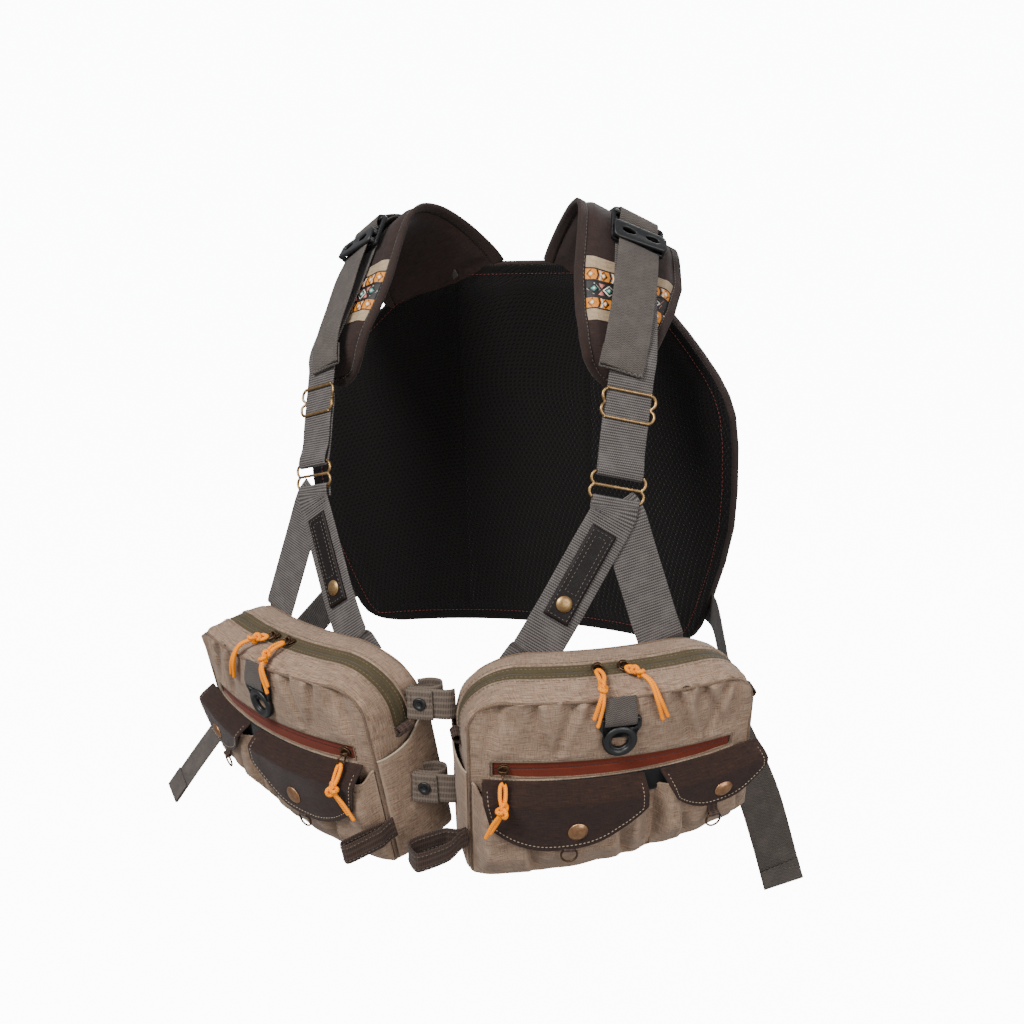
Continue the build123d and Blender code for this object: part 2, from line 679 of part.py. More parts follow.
def waist_belt():
    """Belt from the side of the back panel to the outer rear corner of the bag."""
    along = Vector(*BELT_END) - Vector(*BELT_START)
    place = Plane(origin=BELT_START, x_dir=along, z_dir=along.cross(Vector(0, 0, 1)))
    belt = Box(along.length, WEBBING, WEBBING_THICKNESS)
    return Location(place) * Pos(along.length / 2, 0, 0) * belt


def belt_tail(lie):
    """Free end of the waist belt, hanging at the outer end of the bag."""
    down = Vector(*lie["foot"]) - Vector(*TAIL_TOP)
    normal = Vector(*lie["across"]).cross(down)
    place = Location(Plane(origin=TAIL_TOP, x_dir=down.cross(normal), z_dir=normal))
    half = WEBBING / 2
    side = WEBBING_THICKNESS / 2
    return place * box_between((-half, half), (0, down.length), (-side, side))


# ---------- assembly ----------

def in_bag(*solids):
    """Places solids of the bag's own frame in the vest."""
    return [BAG * solid for solid in solids]


def left_nodes():
    """Every piece that hangs the same way on both sides of the wearer."""
    pockets = [*flap_pocket(INNER_FLAP), *flap_pocket(OUTER_FLAP), side_pocket()]
    tabs = [ring_tab(), small_tab(INNER_FLAP), small_tab(OUTER_FLAP), end_tab()]
    return {
        "shoulder_pad": [shoulder_pad()],
        "load_strap": [load_strap()],
        "adjust_glide": [adjust_glide()],
        "link_glide": [link_glide()],
        "v_strap": [v_strap()],
        "leather_tab": leather_tab(),
        "bag_shell": in_bag(bag_shell()),
        "main_zip_tape": in_bag(main_zip_tape()),
        "front_zip_tape": in_bag(front_zip_tape()),
        "outer_pockets": in_bag(*pockets),
        "snap_studs": in_bag(*snap_studs()),
        "ring_tapes": in_bag(*tabs),
        "tool_ring": in_bag(tool_ring()),
        "main_slider_inner": in_bag(main_slider_place(-MAIN_SLIDER_S) * slider()),
        "main_slider_outer": in_bag(main_slider_place(MAIN_SLIDER_S) * slider()),
        "main_pull_inner": in_bag(*pull_on_top(-MAIN_SLIDER_S)),
        "main_pull_outer": in_bag(*pull_on_top(MAIN_SLIDER_S)),
        "front_slider": in_bag(front_slider_place() * slider()),
        "front_pull": in_bag(*pull_on_front()),
        "flap_inner": in_bag(*flap_plate(INNER_FLAP)),
        "flap_outer": in_bag(*flap_plate(OUTER_FLAP)),
        "small_ring_inner": in_bag(small_ring(INNER_FLAP)),
        "small_ring_outer": in_bag(small_ring(OUTER_FLAP)),
    }


def both_sides(solids):
    """A left solid and its mirror image, for pieces that share one node."""
    return solids + [mirror(solid, about=Plane.YZ) for solid in solids]


def centre_nodes():
    """Pieces that exist once, or as one node for both sides."""
    mesh = panel_layer(0, MESH_THICKNESS, 0)
    foam = panel_layer(MESH_THICKNESS + GAP, FOAM_THICKNESS, FOAM_INSET)
    cover = panel_layer(MESH_THICKNESS + FOAM_THICKNESS + 2 * GAP, COVER_THICKNESS, 0)
    return {
        "back_air_mesh": [mesh],
        "back_panel_foam": [foam],
        "back_panel_cover": [cover],
        "shoulder_locks": both_sides([shoulder_lock()]),
        "pad_webbing": both_sides([pad_webbing()]),
        "waist_belt": both_sides([waist_belt()]),
        "centre_strap_upper": centre_strap(CENTRE_HEIGHTS["upper"]),
        "centre_strap_lower": centre_strap(CENTRE_HEIGHTS["lower"]),
        "centre_tabs": [centre_tab(height) for height in CENTRE_HEIGHTS.values()],
    }


def all_nodes():
    """Every node of the vest by name."""
    nodes = centre_nodes()
    left = left_nodes()
    right = left_nodes()
    left["rod_loop"] = in_bag(rod_loop(LOOP_HEADINGS["left"]))
    right["rod_loop"] = in_bag(rod_loop(LOOP_HEADINGS["right"]))
    left["belt_tail"] = [belt_tail(TAILS["left"])]
    right["belt_tail"] = [belt_tail(TAILS["right"])]
    for name in left:
        nodes[name + "_left"] = left[name]
        nodes[name + "_right"] = [mirror(solid, about=Plane.YZ) for solid in right[name]]
    return nodes


os.makedirs("parts", exist_ok=True)
for node_name, node_solids in all_nodes().items():
    solids = [solid for shape in node_solids for solid in shape.solids()]
    shape = solids[0] if len(solids) == 1 else Compound(children=solids)
    export_step(shape, f"parts/{node_name}.step")
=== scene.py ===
"""Fishing vest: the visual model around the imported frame. Lengths in the code are millimetres."""

import math
import json

import bmesh
import bpy
import numpy as np
from mathutils import Matrix, Vector, noise

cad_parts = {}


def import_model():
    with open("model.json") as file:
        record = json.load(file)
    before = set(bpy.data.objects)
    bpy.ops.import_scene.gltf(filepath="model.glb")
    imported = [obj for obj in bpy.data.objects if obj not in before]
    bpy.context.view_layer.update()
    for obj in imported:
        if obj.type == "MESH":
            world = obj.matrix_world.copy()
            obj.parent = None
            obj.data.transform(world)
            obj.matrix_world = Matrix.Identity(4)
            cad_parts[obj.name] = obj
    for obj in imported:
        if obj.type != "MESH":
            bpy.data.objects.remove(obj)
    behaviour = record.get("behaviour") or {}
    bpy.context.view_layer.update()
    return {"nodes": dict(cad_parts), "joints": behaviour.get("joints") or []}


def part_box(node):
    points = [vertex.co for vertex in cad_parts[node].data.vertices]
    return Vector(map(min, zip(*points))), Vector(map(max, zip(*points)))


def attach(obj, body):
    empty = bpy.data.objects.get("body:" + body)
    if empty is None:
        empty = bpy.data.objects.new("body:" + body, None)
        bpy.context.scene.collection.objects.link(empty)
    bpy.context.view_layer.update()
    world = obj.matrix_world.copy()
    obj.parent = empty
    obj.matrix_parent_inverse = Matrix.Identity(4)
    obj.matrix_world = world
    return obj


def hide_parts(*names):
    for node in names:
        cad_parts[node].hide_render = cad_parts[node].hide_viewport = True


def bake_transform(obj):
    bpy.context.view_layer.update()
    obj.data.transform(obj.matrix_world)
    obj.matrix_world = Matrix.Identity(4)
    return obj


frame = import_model()
MM = 0.001
SIDES = ("left", "right")
JOINTS = {joint["name"]: joint for joint in frame["joints"]}


# ---------- frames, read from the joints ----------

def unit(v):
    v = np.array(v, float)
    return v / np.linalg.norm(v)


class Frame:
    """Right-handed frame in millimetres: columns are the axes."""

    def __init__(self, x, y, z, origin):
        self.axes = np.stack([x, y, z], 1)
        self.origin = np.array(origin, float)

    def world(self, points):
        return np.asarray(points, float) @ self.axes.T + self.origin


def joint_axis(name):
    return unit(JOINTS[name]["axis"])


def joint_place(name):
    return np.array(JOINTS[name]["pos_m"]) / MM


FRONT_RADIUS = 400.0
BAG_HEIGHT = 160.0
BAG_DEPTH = 58.0
HALF_WIDTH = 114.0


class SlumpedFrame(Frame):
    """Bag frame that follows the hang of the loaded bag: its lower edge rises towards the outer end."""

    def world(self, points):
        points = np.array(points, float)
        s = FRONT_RADIUS * np.arctan2(points[..., 0], FRONT_RADIUS - points[..., 1])
        z = points[..., 2]
        low = 7.5 + 0.155 * s - 3.0 * (1 - (s / HALF_WIDTH) ** 2)
        points[..., 2] = z + low * np.clip(1 - z / 100, 0, 1.1)
        return super().world(points)


def bag_frame():
    """Axes and origin: X outwards along the bag, Y into it, Z up, origin at the front bottom."""
    x = joint_axis("tool_ring_swing_left")
    z = joint_axis("main_slider_outer_left_travel")
    y = np.cross(z, x)
    centre = joint_place("main_slider_outer_left_travel")
    return x, y, z, centre - FRONT_RADIUS * y - BAG_HEIGHT * z


def shoulder_frame():
    """Strap frame: X across, Y into the chest, Z up, origin at the adjusting glide."""
    x = unit((0.87, 0.42, -0.25))
    z = unit(np.array((0, 0, 1)) - x * x[2])
    lo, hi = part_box("adjust_glide_left")
    centre = (np.array(lo) + np.array(hi)) / 2 / MM
    return RolledFrame(x, np.cross(z, x), z, centre)


class RolledFrame(Frame):
    """Strap frame whose points roll outwards over the shoulder, the further back they lie."""

    ROLL, START, RUN = 0.25, 45.0, 70.0

    def world(self, points):
        points = np.array(points, float)
        t = np.clip((points[..., 1] - self.START) / self.RUN, 0, 1)
        points[..., 2] -= self.ROLL * points[..., 0] * t * t * (3 - 2 * t)
        return super().world(points)


def v_frame():
    """V strap frame: X across, Y up the strap, Z out of it, origin between the feet."""
    x = unit((0.892, 0.451, 0.0))
    z = np.array((0.436, -0.862, 0.260))
    z = unit(z - x * (z @ x))
    return Frame(x, np.cross(z, x), z, (124.5, -108.5, 170.0))


BAG = SlumpedFrame(*bag_frame())
BAG_PIVOTS = Frame(*bag_frame())
STRAP = shoulder_frame()
VEE = v_frame()
LINK_PLACE = (24.6, 122.2, 0.0)


def link_frame():
    """Link glide frame: in the V strap's plane, turned to the shoulder strap's slope."""
    normal = VEE.axes[:, 2]
    x = STRAP.axes[:, 0]
    x = unit(x - normal * (x @ normal))
    return Frame(x, np.cross(normal, x), normal, VEE.world(LINK_PLACE))


LINK = link_frame()
WORLD = Frame((1, 0, 0), (0, 1, 0), (0, 0, 1), (0, 0, 0))


def arc(s, n, z):
    """Bag point at arc length s on the front face, n in front of it, height z."""
    radius = FRONT_RADIUS + n
    angle = s / FRONT_RADIUS
    return (radius * math.sin(angle), FRONT_RADIUS - radius * math.cos(angle), z)


# ---------- mesh building ----------

def make(name, side, frame_, shape, material, body=None, replaces=()):
    """Makes a mesh piece from (vertices, faces, uvs), mirrored for the right side."""
    verts, faces, uvs = shape
    points = frame_.world(verts) * MM
    if side == "right":
        points[:, 0] *= -1
        faces = [tuple(reversed(face)) for face in faces]
    full = name if side is None else f"{name}_{side}"
    mesh = bpy.data.meshes.new(full)
    mesh.from_pydata([tuple(p) for p in points], [], faces)
    if uvs is not None:
        layer = mesh.uv_layers.new(name="UVMap")
        loops = np.zeros(len(mesh.loops), np.int32)
        mesh.loops.foreach_get("vertex_index", loops)
        layer.data.foreach_set("uv", np.asarray(uvs, np.float32)[loops].ravel())
    mesh.polygons.foreach_set("use_smooth", [True] * len(mesh.polygons))
    mesh.update()
    obj = bpy.data.objects.new(full, mesh)
    bpy.context.scene.collection.objects.link(obj)
    obj.data.materials.append(material)
    if body:
        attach(obj, body)
    if replaces:
        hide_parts(*replaces)
    return obj


def mirrored(point, side):
    """A left-side point in metres, on the given side."""
    return tuple(np.array(point) * (-1.0 if side == "right" else 1.0, 1, 1) * MM)


def join(*shapes):
    """One (vertices, faces, uvs) from several."""
    verts, faces, uvs, base = [], [], [], 0
    for v, f, t in shapes:
        v = np.asarray(v, float)
        verts.append(v)
        faces += [tuple(i + base for i in face) for face in f]
        uvs.append(np.zeros((len(v), 2)) if t is None else np.asarray(t, float))
        base += len(v)
    return np.concatenate(verts), faces, np.concatenate(uvs)


def grid_faces(rows, columns, close_rows=False, close_columns=False, flip=False, base=0):
    """Quads between rows x columns points."""
    faces = []
    for i in range(rows if close_rows else rows - 1):
        for j in range(columns if close_columns else columns - 1):
            a = base + i * columns + j
            b = base + i * columns + (j + 1) % columns
            c = base + ((i + 1) % rows) * columns + (j + 1) % columns
            d = base + ((i + 1) % rows) * columns + j
            faces.append((a, d, c, b) if flip else (a, b, c, d))
    return faces


def two_faced(front, back, uv):
    """Closed piece from two grids of points (rows, columns, 3) joined round their border."""
    rows, columns = front.shape[:2]
    count = rows * columns
    faces = grid_faces(rows, columns) + grid_faces(rows, columns, flip=True, base=count)
    border = [(0, j) for j in range(columns)]
    border += [(i, columns - 1) for i in range(1, rows)]
    border += [(rows - 1, j) for j in range(columns - 2, -1, -1)]
    border += [(i, 0) for i in range(rows - 2, 0, -1)]
    ids = [i * columns + j for i, j in border]
    for a, b in zip(ids, ids[1:] + ids[:1]):
        faces.append((a, a + count, b + count, b))
    uv = np.asarray(uv, float).reshape(-1, 2) * MM
    return np.concatenate([front.reshape(-1, 3), back.reshape(-1, 3)]), faces, np.concatenate([uv, uv])


def sheet(grid, thickness):
    """Closed piece of cloth around a grid of points (rows, columns, 3)."""
    grid = np.asarray(grid, float)
    rows, columns = grid.shape[:2]
    du = np.gradient(grid, axis=1)
    dv = np.gradient(grid, axis=0)
    normal = np.cross(du, dv)
    normal /= np.maximum(np.linalg.norm(normal, axis=2, keepdims=True), 1e-9)
    half = np.full((rows, columns, 1), thickness / 2)
    half[[0, -1]] *= 0.55
    half[:, [0, -1]] *= 0.55
    front = grid + normal * half
    back = grid - normal * half
    across = np.linalg.norm(np.diff(grid, axis=1, prepend=grid[:, :1]), axis=2).cumsum(1)
    along = np.linalg.norm(np.diff(grid, axis=0, prepend=grid[:1]), axis=2).cumsum(0)
    return two_faced(front, back, np.stack([across, along], 2))


def frames_along(path, across=None):
    """Tangent and two normals at each point of a path."""
    path = np.asarray(path, float)
    tangent = np.gradient(path, axis=0)
    tangent /= np.linalg.norm(tangent, axis=1, keepdims=True)
    if across is not None:
        across = np.broadcast_to(np.asarray(across, float), path.shape).copy()
        across -= tangent * np.sum(tangent * across, axis=1, keepdims=True)
        across /= np.linalg.norm(across, axis=1, keepdims=True)
        return tangent, across, np.cross(tangent, across)
    side = np.cross(tangent[0], (0.31, 0.57, 0.76))
    side /= np.linalg.norm(side)
    sides = []
    for t in tangent:
        side = side - t * (side @ t)
        side = side / np.linalg.norm(side)
        sides.append(side)
    sides = np.array(sides)
    return tangent, sides, np.cross(tangent, sides)


def sweep(path, section, across=None, closed=False, scale=None):
    """Closed section (points across, out) swept along a path, with flat caps."""
    path = np.asarray(path, float)
    section = np.asarray(section, float)
    if closed:
        wrapped = np.concatenate([path[-2:], path, path[:2]])
        _, a, b = frames_along(wrapped, across)
        a, b = a[2:-2], b[2:-2]
    else:
        _, a, b = frames_along(path, across)
    scale = np.ones(len(path)) if scale is None else np.asarray(scale, float)
    offsets = a[:, None] * section[None, :, :1] + b[:, None] * section[None, :, 1:]
    rings = path[:, None] + offsets * scale[:, None, None]
    rows, columns = rings.shape[:2]
    faces = grid_faces(rows, columns, close_rows=closed, close_columns=True, flip=True)
    verts = rings.reshape(-1, 3)
    if not closed:
        faces.append(tuple(range(columns)))
        faces.append(tuple(reversed(range((rows - 1) * columns, rows * columns))))
    along = np.concatenate([[0], np.linalg.norm(np.diff(path, axis=0), axis=1).cumsum()])
    size = (rows, columns)
    uv = np.stack([np.broadcast_to(section[:, 0], size), np.broadcast_to(along[:, None], size)], 2)
    return verts, faces, uv.reshape(-1, 2) * MM


def circle(radius, count=10):
    turns = [2 * math.pi * i / count for i in range(count)]
    return [(radius * math.cos(turn), radius * math.sin(turn)) for turn in turns]


def tube(path, radius, count=10):
    """Tube with softly rounded ends."""
    path = np.asarray(path, float)
    first, last = path[0], path[-1]
    a = unit(first - path[1]) * radius
    b = unit(last - path[-2]) * radius
    full = np.concatenate([[first + a * 0.45], [first + a * 0.3], path, [last + b * 0.3], [last + b * 0.45]])
    scale = np.concatenate([[0.35, 0.8], np.ones(len(path)), [0.8, 0.35]])
    return sweep(full, circle(radius, count), scale=scale)


def web_section(width, thickness, edge=0.9):
    """Section of flat webbing with slightly thinner, rounded edges."""
    half, up = width / 2, thickness / 2
    xs = np.linspace(-half + edge, half - edge, 9)
    top = [(x, up) for x in xs]
    bottom = [(x, -up) for x in xs[::-1]]
    right = [(half - edge * 0.3, up * 0.75), (half, 0), (half - edge * 0.3, -up * 0.75)]
    left = [(-half + edge * 0.3, -up * 0.75), (-half, 0), (-half + edge * 0.3, up * 0.75)]
    return top + right + bottom + left


WEBBING_WIDTH = 38.0


def webbing(path, across, width, thickness=1.5):
    return sweep(path, web_section(width, thickness), across=across)


def band(points, count, across, width, thickness=1.5):
    """Webbing along a smooth curve through points."""
    return webbing(smooth_path(points, count), across, width, thickness)


def smooth_path(points, count):
    """Catmull-Rom curve through points, sampled evenly."""
    p = np.asarray(points, float)
    p = np.concatenate([[2 * p[0] - p[1]], p, [2 * p[-1] - p[-2]]])
    out = []
    for i in range(1, len(p) - 2):
        for t in np.linspace(0, 1, 24, endpoint=False):
            a, b, c, d = p[i - 1], p[i], p[i + 1], p[i + 2]
            square, cube = 2 * a - 5 * b + 4 * c - d, 3 * b - a - 3 * c + d
            out.append(0.5 * (2 * b + (c - a) * t + square * t * t + cube * t ** 3))
    out.append(p[-2])
    out = np.array(out)
    return resample(out, count)


def resample(points, count):
    points = np.asarray(points, float)
    length = np.concatenate([[0], np.linalg.norm(np.diff(points, axis=0), axis=1).cumsum()])
    at = np.linspace(0, length[-1], count)
    return np.stack([np.interp(at, length, points[:, k]) for k in range(points.shape[1])], 1)


def dashes(path, length=2.4, gap=1.3, radius=0.32, closed=False):
    """Row of thread stitches along a path."""
    path = np.asarray(path, float)
    if closed:
        path = np.concatenate([path, path[:1]])
    steps = np.concatenate([[0], np.linalg.norm(np.diff(path, axis=0), axis=1).cumsum()])
    shapes, at = [], 0.4
    section = circle(radius, 5)
    while at + length < steps[-1]:
        marks = np.linspace(at, at + length, 4)
        points = np.stack([np.interp(marks, steps, path[:, k]) for k in range(3)], 1)
        shapes.append(sweep(points, section, scale=[0.45, 1, 1, 0.45]))
        at += length + gap
    return join(*shapes)


def lathe(profile, place, axis):
    """Surface of revolution: profile of (radius, height) about axis at place."""
    axis = unit(axis)
    helper = np.array((0.3, 0.8, 0.5)) if abs(axis[0]) > 0.6 else np.array((1.0, 0.1, 0.2))
    a = unit(np.cross(axis, helper))
    b = np.cross(axis, a)
    count = 28
    angles = np.linspace(0, 2 * math.pi, count, endpoint=False)
    verts = []
    for radius, height in profile:
        for t in angles:
            verts.append(np.array(place) + axis * height + (a * math.cos(t) + b * math.sin(t)) * radius)
    rows = len(profile)
    faces = grid_faces(rows, count, close_columns=True)
    faces.append(tuple(reversed(range(count))))
    faces.append(tuple(range((rows - 1) * count, rows * count)))
    return np.array(verts), faces, None


def snap_cap(place, axis, radius, height=2.4):
    """Domed cap of a snap with a rolled rim."""
    rim = ((0.7, -0.2), (0.94, 0.0), (1.0, 0.45), (0.99, 0.9), (0.9, 1.2))
    profile = [(radius * k, level) for k, level in rim]
    steps = (0.82, 0.7, 0.55, 0.4, 0.25, 0.1, 0.02)
    profile += [(radius * k, 1.15 + (height - 1.15) * math.sqrt(1 - (k / 0.86) ** 2)) for k in steps]
    return lathe(profile, place, axis)


def plate(outline, holes, thickness, bevel):
    """Flat plate in the XY plane with holes, centred on z 0, with rounded edges."""
    bm = bmesh.new()
    loops = []
    for ring in [outline, *holes]:
        verts = [bm.verts.new((x, y, -thickness / 2)) for x, y in ring]
        loops += [bm.edges.new((a, b)) for a, b in zip(verts, verts[1:] + verts[:1])]
    bmesh.ops.triangle_fill(bm, use_beauty=True, use_dissolve=True, edges=loops)
    faces = list(bm.faces)
    result = bmesh.ops.extrude_face_region(bm, geom=faces)
    moved = [g for g in result["geom"] if isinstance(g, bmesh.types.BMVert)]
    bmesh.ops.translate(bm, verts=moved, vec=(0, 0, thickness))
    bmesh.ops.recalc_face_normals(bm, faces=bm.faces)
    rim = [e for e in bm.edges if len(e.link_faces) == 2 and e.calc_face_angle(0) > 1.2]
    bmesh.ops.bevel(bm, geom=rim, offset=bevel, segments=3, profile=0.5, affect="EDGES")
    bmesh.ops.triangulate(bm, faces=[f for f in bm.faces if len(f.verts) > 4])
    bm.verts.index_update()
    verts = np.array([v.co for v in bm.verts])
    faces = [tuple(v.index for v in f.verts) for f in bm.faces]
    bm.free()
    return verts, faces, None


def placed(shape, frame_):
    """A shape moved from a local frame to its parent frame."""
    verts, faces, uvs = shape
    return frame_.world(verts), faces, uvs


def wobble(point, size, seed=0.0):
    """Smooth noise, about -1 to 1, at a point in millimetres."""
    return noise.noise(Vector((point[0] / size + seed, point[1] / size - seed, point[2] / size + 3 * seed)))


# ---------- materials ----------

def linear(r, g, b):
    """Linear colour from 0-255 sRGB."""
    def channel(value):
        value /= 255
        return value / 12.92 if value <= 0.04045 else ((value + 0.055) / 1.055) ** 2.4
    return (channel(r), channel(g), channel(b), 1.0)


def shade(colour, k):
    return tuple(min(255, c * k) for c in colour)


class Graph:
    """A material's node tree, with short calls for the nodes used here."""

    def __init__(self, name):
        self.material = bpy.data.materials.new(name)
        self.material.use_nodes = True
        self.tree = self.material.node_tree
        self.shader = self.tree.nodes["Principled BSDF"]

    def node(self, kind, **settings):
        node = self.tree.nodes.new("ShaderNode" + kind)
        for key, value in settings.items():
            setattr(node, key, value)
        return node

    def put(self, socket, value):
        if isinstance(value, bpy.types.NodeSocket):
            self.tree.links.new(value, socket)
        else:
            socket.default_value = value

    def set(self, name, value):
        self.put(self.shader.inputs[name], value)

    def math(self, operation, a, b=0.0):
        node = self.node("Math", operation=operation)
        self.put(node.inputs[0], a)
        self.put(node.inputs[1], b)
        return node.outputs[0]

    def mix(self, factor, a, b):
        node = self.node("Mix", data_type="RGBA")
        self.put(node.inputs[0], factor)
        self.put(node.inputs[6], a)
        self.put(node.inputs[7], b)
        return node.outputs[2]

    def millimetres(self, source="UV"):
        """Coordinates in millimetres: thread directions from UV, or the object's own space."""
        node = self.node("VectorMath", operation="SCALE")
        self.put(node.inputs[0], self.node("TexCoord").outputs[source])
        node.inputs["Scale"].default_value = 1000.0
        return node.outputs[0]

    def stretch(self, vector, scale):
        node = self.node("VectorMath", operation="MULTIPLY")
        self.put(node.inputs[0], vector)
        node.inputs[1].default_value = scale
        return node.outputs[0]

    def noise(self, vector, scale=1.0, detail=2.0, rough=0.5, distortion=0.0):
        node = self.node("TexNoise")
        self.put(node.inputs["Vector"], vector)
        node.inputs["Scale"].default_value = scale
        node.inputs["Detail"].default_value = detail
        node.inputs["Roughness"].default_value = rough
        node.inputs["Distortion"].default_value = distortion
        return node.outputs["Fac"]

    def cells(self, vector, scale):
        node = self.node("TexVoronoi")
        self.put(node.inputs["Vector"], vector)
        node.inputs["Scale"].default_value = scale
        return node.outputs["Distance"]

    def parts(self, vector):
        node = self.node("SeparateXYZ")
        self.put(node.inputs[0], vector)
        return node.outputs[0], node.outputs[1], node.outputs[2]

    def ramp(self, factor, stops):
        node = self.node("ValToRGB")
        self.put(node.inputs[0], factor)
        elements = node.color_ramp.elements
        for _ in stops[2:]:
            elements.new(0.5)
        for element, (place, colour) in zip(elements, stops):
            element.position = place
            element.color = colour if isinstance(colour, tuple) else (colour, colour, colour, 1)
        return node.outputs[0]

    def wave(self, coordinate, pitch):
        """Sine, 0 to 1, of a coordinate in millimetres."""
        turned = self.math("SINE", self.math("MULTIPLY", coordinate, 2 * math.pi / pitch))
        return self.math("ADD", self.math("MULTIPLY", turned, 0.5), 0.5)

    def bump(self, height, strength=0.4, distance=0.3):
        node = self.node("Bump")
        node.inputs["Strength"].default_value = strength
        node.inputs["Distance"].default_value = distance * MM
        self.put(node.inputs["Height"], height)
        self.set("Normal", node.outputs[0])

    def edges(self, low=0.5, high=0.58):
        """Convex edges, where wear shows."""
        return self.ramp(self.node("NewGeometry").outputs["Pointiness"], [(low, 0.0), (high, 1.0)])


def heather(name, base, dark, light, fleck, contrast=1.0, weave=0.9, slub=(0.08, 1.7)):
    """Melange woven cloth: thread-wise streaks, flecks, a fine plain weave and soft wear."""
    g = Graph(name)
    uv = g.millimetres()
    u, v, _ = g.parts(uv)
    streak = g.noise(g.stretch(uv, (slub[0], slub[1], 1)), 1.0, 3.0, 0.6)
    cross = g.noise(g.stretch(uv, (slub[1] * 0.9, slub[0] * 1.6, 1)), 1.0, 2.0, 0.5)
    grain = g.noise(uv, 1.4, 2.0, 0.7)
    value = g.math("ADD", g.math("MULTIPLY", streak, 0.5), g.math("MULTIPLY", cross, 0.22))
    value = g.math("ADD", value, g.math("MULTIPLY", grain, 0.28))
    spread = 0.125 / contrast
    stops = [(0.5 - spread, linear(*dark)), (0.5, linear(*base)), (0.5 + spread, linear(*light))]
    colour = g.ramp(value, stops)
    spots = g.noise(g.stretch(uv, (0.2, 1.6, 1)), 1.0, 1.0, 0.5)
    colour = g.mix(g.ramp(spots, [(0.57, 0.0), (0.7, 0.5)]), colour, linear(*fleck))
    patches = g.noise(uv, 0.022, 2.0, 0.5)
    colour = g.mix(g.ramp(patches, [(0.35, 0.0), (0.7, 0.28)]), colour, linear(*shade(dark, 0.92)))
    colour = g.mix(g.math("MULTIPLY", g.edges(0.505, 0.56), 0.35), colour, linear(*light))
    g.set("Base Color", colour)
    warp = g.wave(u, weave)
    weft = g.wave(v, weave)
    threads = g.math("ADD", g.math("MULTIPLY", warp, weft), g.math("MULTIPLY", value, 1.6))
    g.bump(threads, 0.4, 0.35)
    g.set("Roughness", g.ramp(grain, [(0.3, 0.74), (0.7, 0.92)]))
    g.set("Sheen Weight", 0.08)
    g.set("Sheen Roughness", 0.5)
    g.set("Specular IOR Level", 0.2)
    return g.material


def woven_tape(name, base, dark, light, rib=2.0, yarn=1.5, twill=0.0, bump=0.6, stripes=0.0):
    """Webbing: ribs across the tape, broken into yarns; twill slants them; stripes run along it."""
    g = Graph(name)
    uv = g.millimetres()
    u, v, _ = g.parts(uv)
    zigzag = g.math("PINGPONG", u, yarn * 2)
    slant = g.math("ADD", v, g.math("MULTIPLY", zigzag, twill))
    ribs = g.wave(slant, rib)
    half = g.math("MULTIPLY", g.math("FLOOR", g.math("DIVIDE", v, rib)), yarn / 2)
    yarns = g.wave(g.math("ADD", u, half), yarn)
    height = g.math("ADD", g.math("MULTIPLY", ribs, 0.75), g.math("MULTIPLY", yarns, 0.4))
    rough = g.noise(uv, 1.1, 2.0, 0.6)
    tone = g.math("ADD", g.math("MULTIPLY", height, 0.62), g.math("MULTIPLY", rough, 0.3))
    colour = g.ramp(tone, [(0.22, linear(*dark)), (0.55, linear(*base)), (0.9, linear(*light))])
    if stripes:
        bands = g.ramp(g.wave(u, stripes), [(0.62, 0.0), (0.8, 0.55)])
        colour = g.mix(bands, colour, linear(*light))
    worn = g.noise(uv, 0.06, 3.0, 0.6)
    colour = g.mix(g.ramp(worn, [(0.45, 0.0), (0.75, 0.35)]), colour, linear(*light))
    g.set("Base Color", colour)
    g.bump(g.math("ADD", height, g.math("MULTIPLY", rough, 0.3)), bump, 0.45)
    g.set("Roughness", 0.82)
    g.set("Sheen Weight", 0.06)
    g.set("Specular IOR Level", 0.22)
    return g.material


def spacer_mesh(name, base, hole):
    """Air mesh: a field of round holes in offset rows over a dark ground."""
    g = Graph(name)
    pitch = 4.6
    uv = g.millimetres()
    u, v, _ = g.parts(uv)
    row = g.math("DIVIDE", v, pitch * 0.866)
    shift = g.math("MULTIPLY", g.math("MODULO", g.math("FLOOR", row), 2.0), 0.5)
    across = g.math("SUBTRACT", g.math("FRACT", g.math("ADD", g.math("DIVIDE", u, pitch), shift)), 0.5)
    up = g.math("SUBTRACT", g.math("FRACT", row), 0.5)
    reach = g.math("SQRT", g.math("ADD", g.math("POWER", across, 2.0), g.math("POWER", up, 2.0)))
    pit = g.ramp(reach, [(0.24, 1.0), (0.36, 0.0)])
    fuzz = g.noise(uv, 2.0, 3.0, 0.7)
    colour = g.mix(g.ramp(fuzz, [(0.35, 0.0), (0.7, 0.6)]), linear(*base), linear(*shade(base, 1.8)))
    g.set("Base Color", g.mix(pit, colour, linear(*hole)))
    height = g.math("ADD", g.math("SUBTRACT", 1.0, pit), g.math("MULTIPLY", fuzz, 0.35))
    g.bump(height, 0.9, 0.9)
    g.set("Roughness", 0.8)
    g.set("Specular IOR Level", 0.12)
    g.set("Sheen Weight", 0.06)
    return g.material


def metal(name, base, dark, rough=0.34):
    """Antique plated metal: darker in patches, brighter along worn edges."""
    g = Graph(name)
    place = g.millimetres("Object")
    patina = g.noise(place, 0.28, 4.0, 0.6)
    specks = g.noise(place, 2.2, 2.0, 0.6)
    colour = g.mix(g.ramp(patina, [(0.34, 0.7), (0.66, 0.0)]), linear(*base), linear(*dark))
    colour = g.mix(g.math("MULTIPLY", g.edges(0.51, 0.6), 0.6), colour, linear(*shade(base, 1.3)))
    g.set("Base Color", colour)
    g.set("Metallic", 1.0)
    g.set("Roughness", g.ramp(specks, [(0.3, rough), (0.75, rough + 0.2)]))
    g.bump(g.math("ADD", specks, patina), 0.12, 0.1)
    return g.material


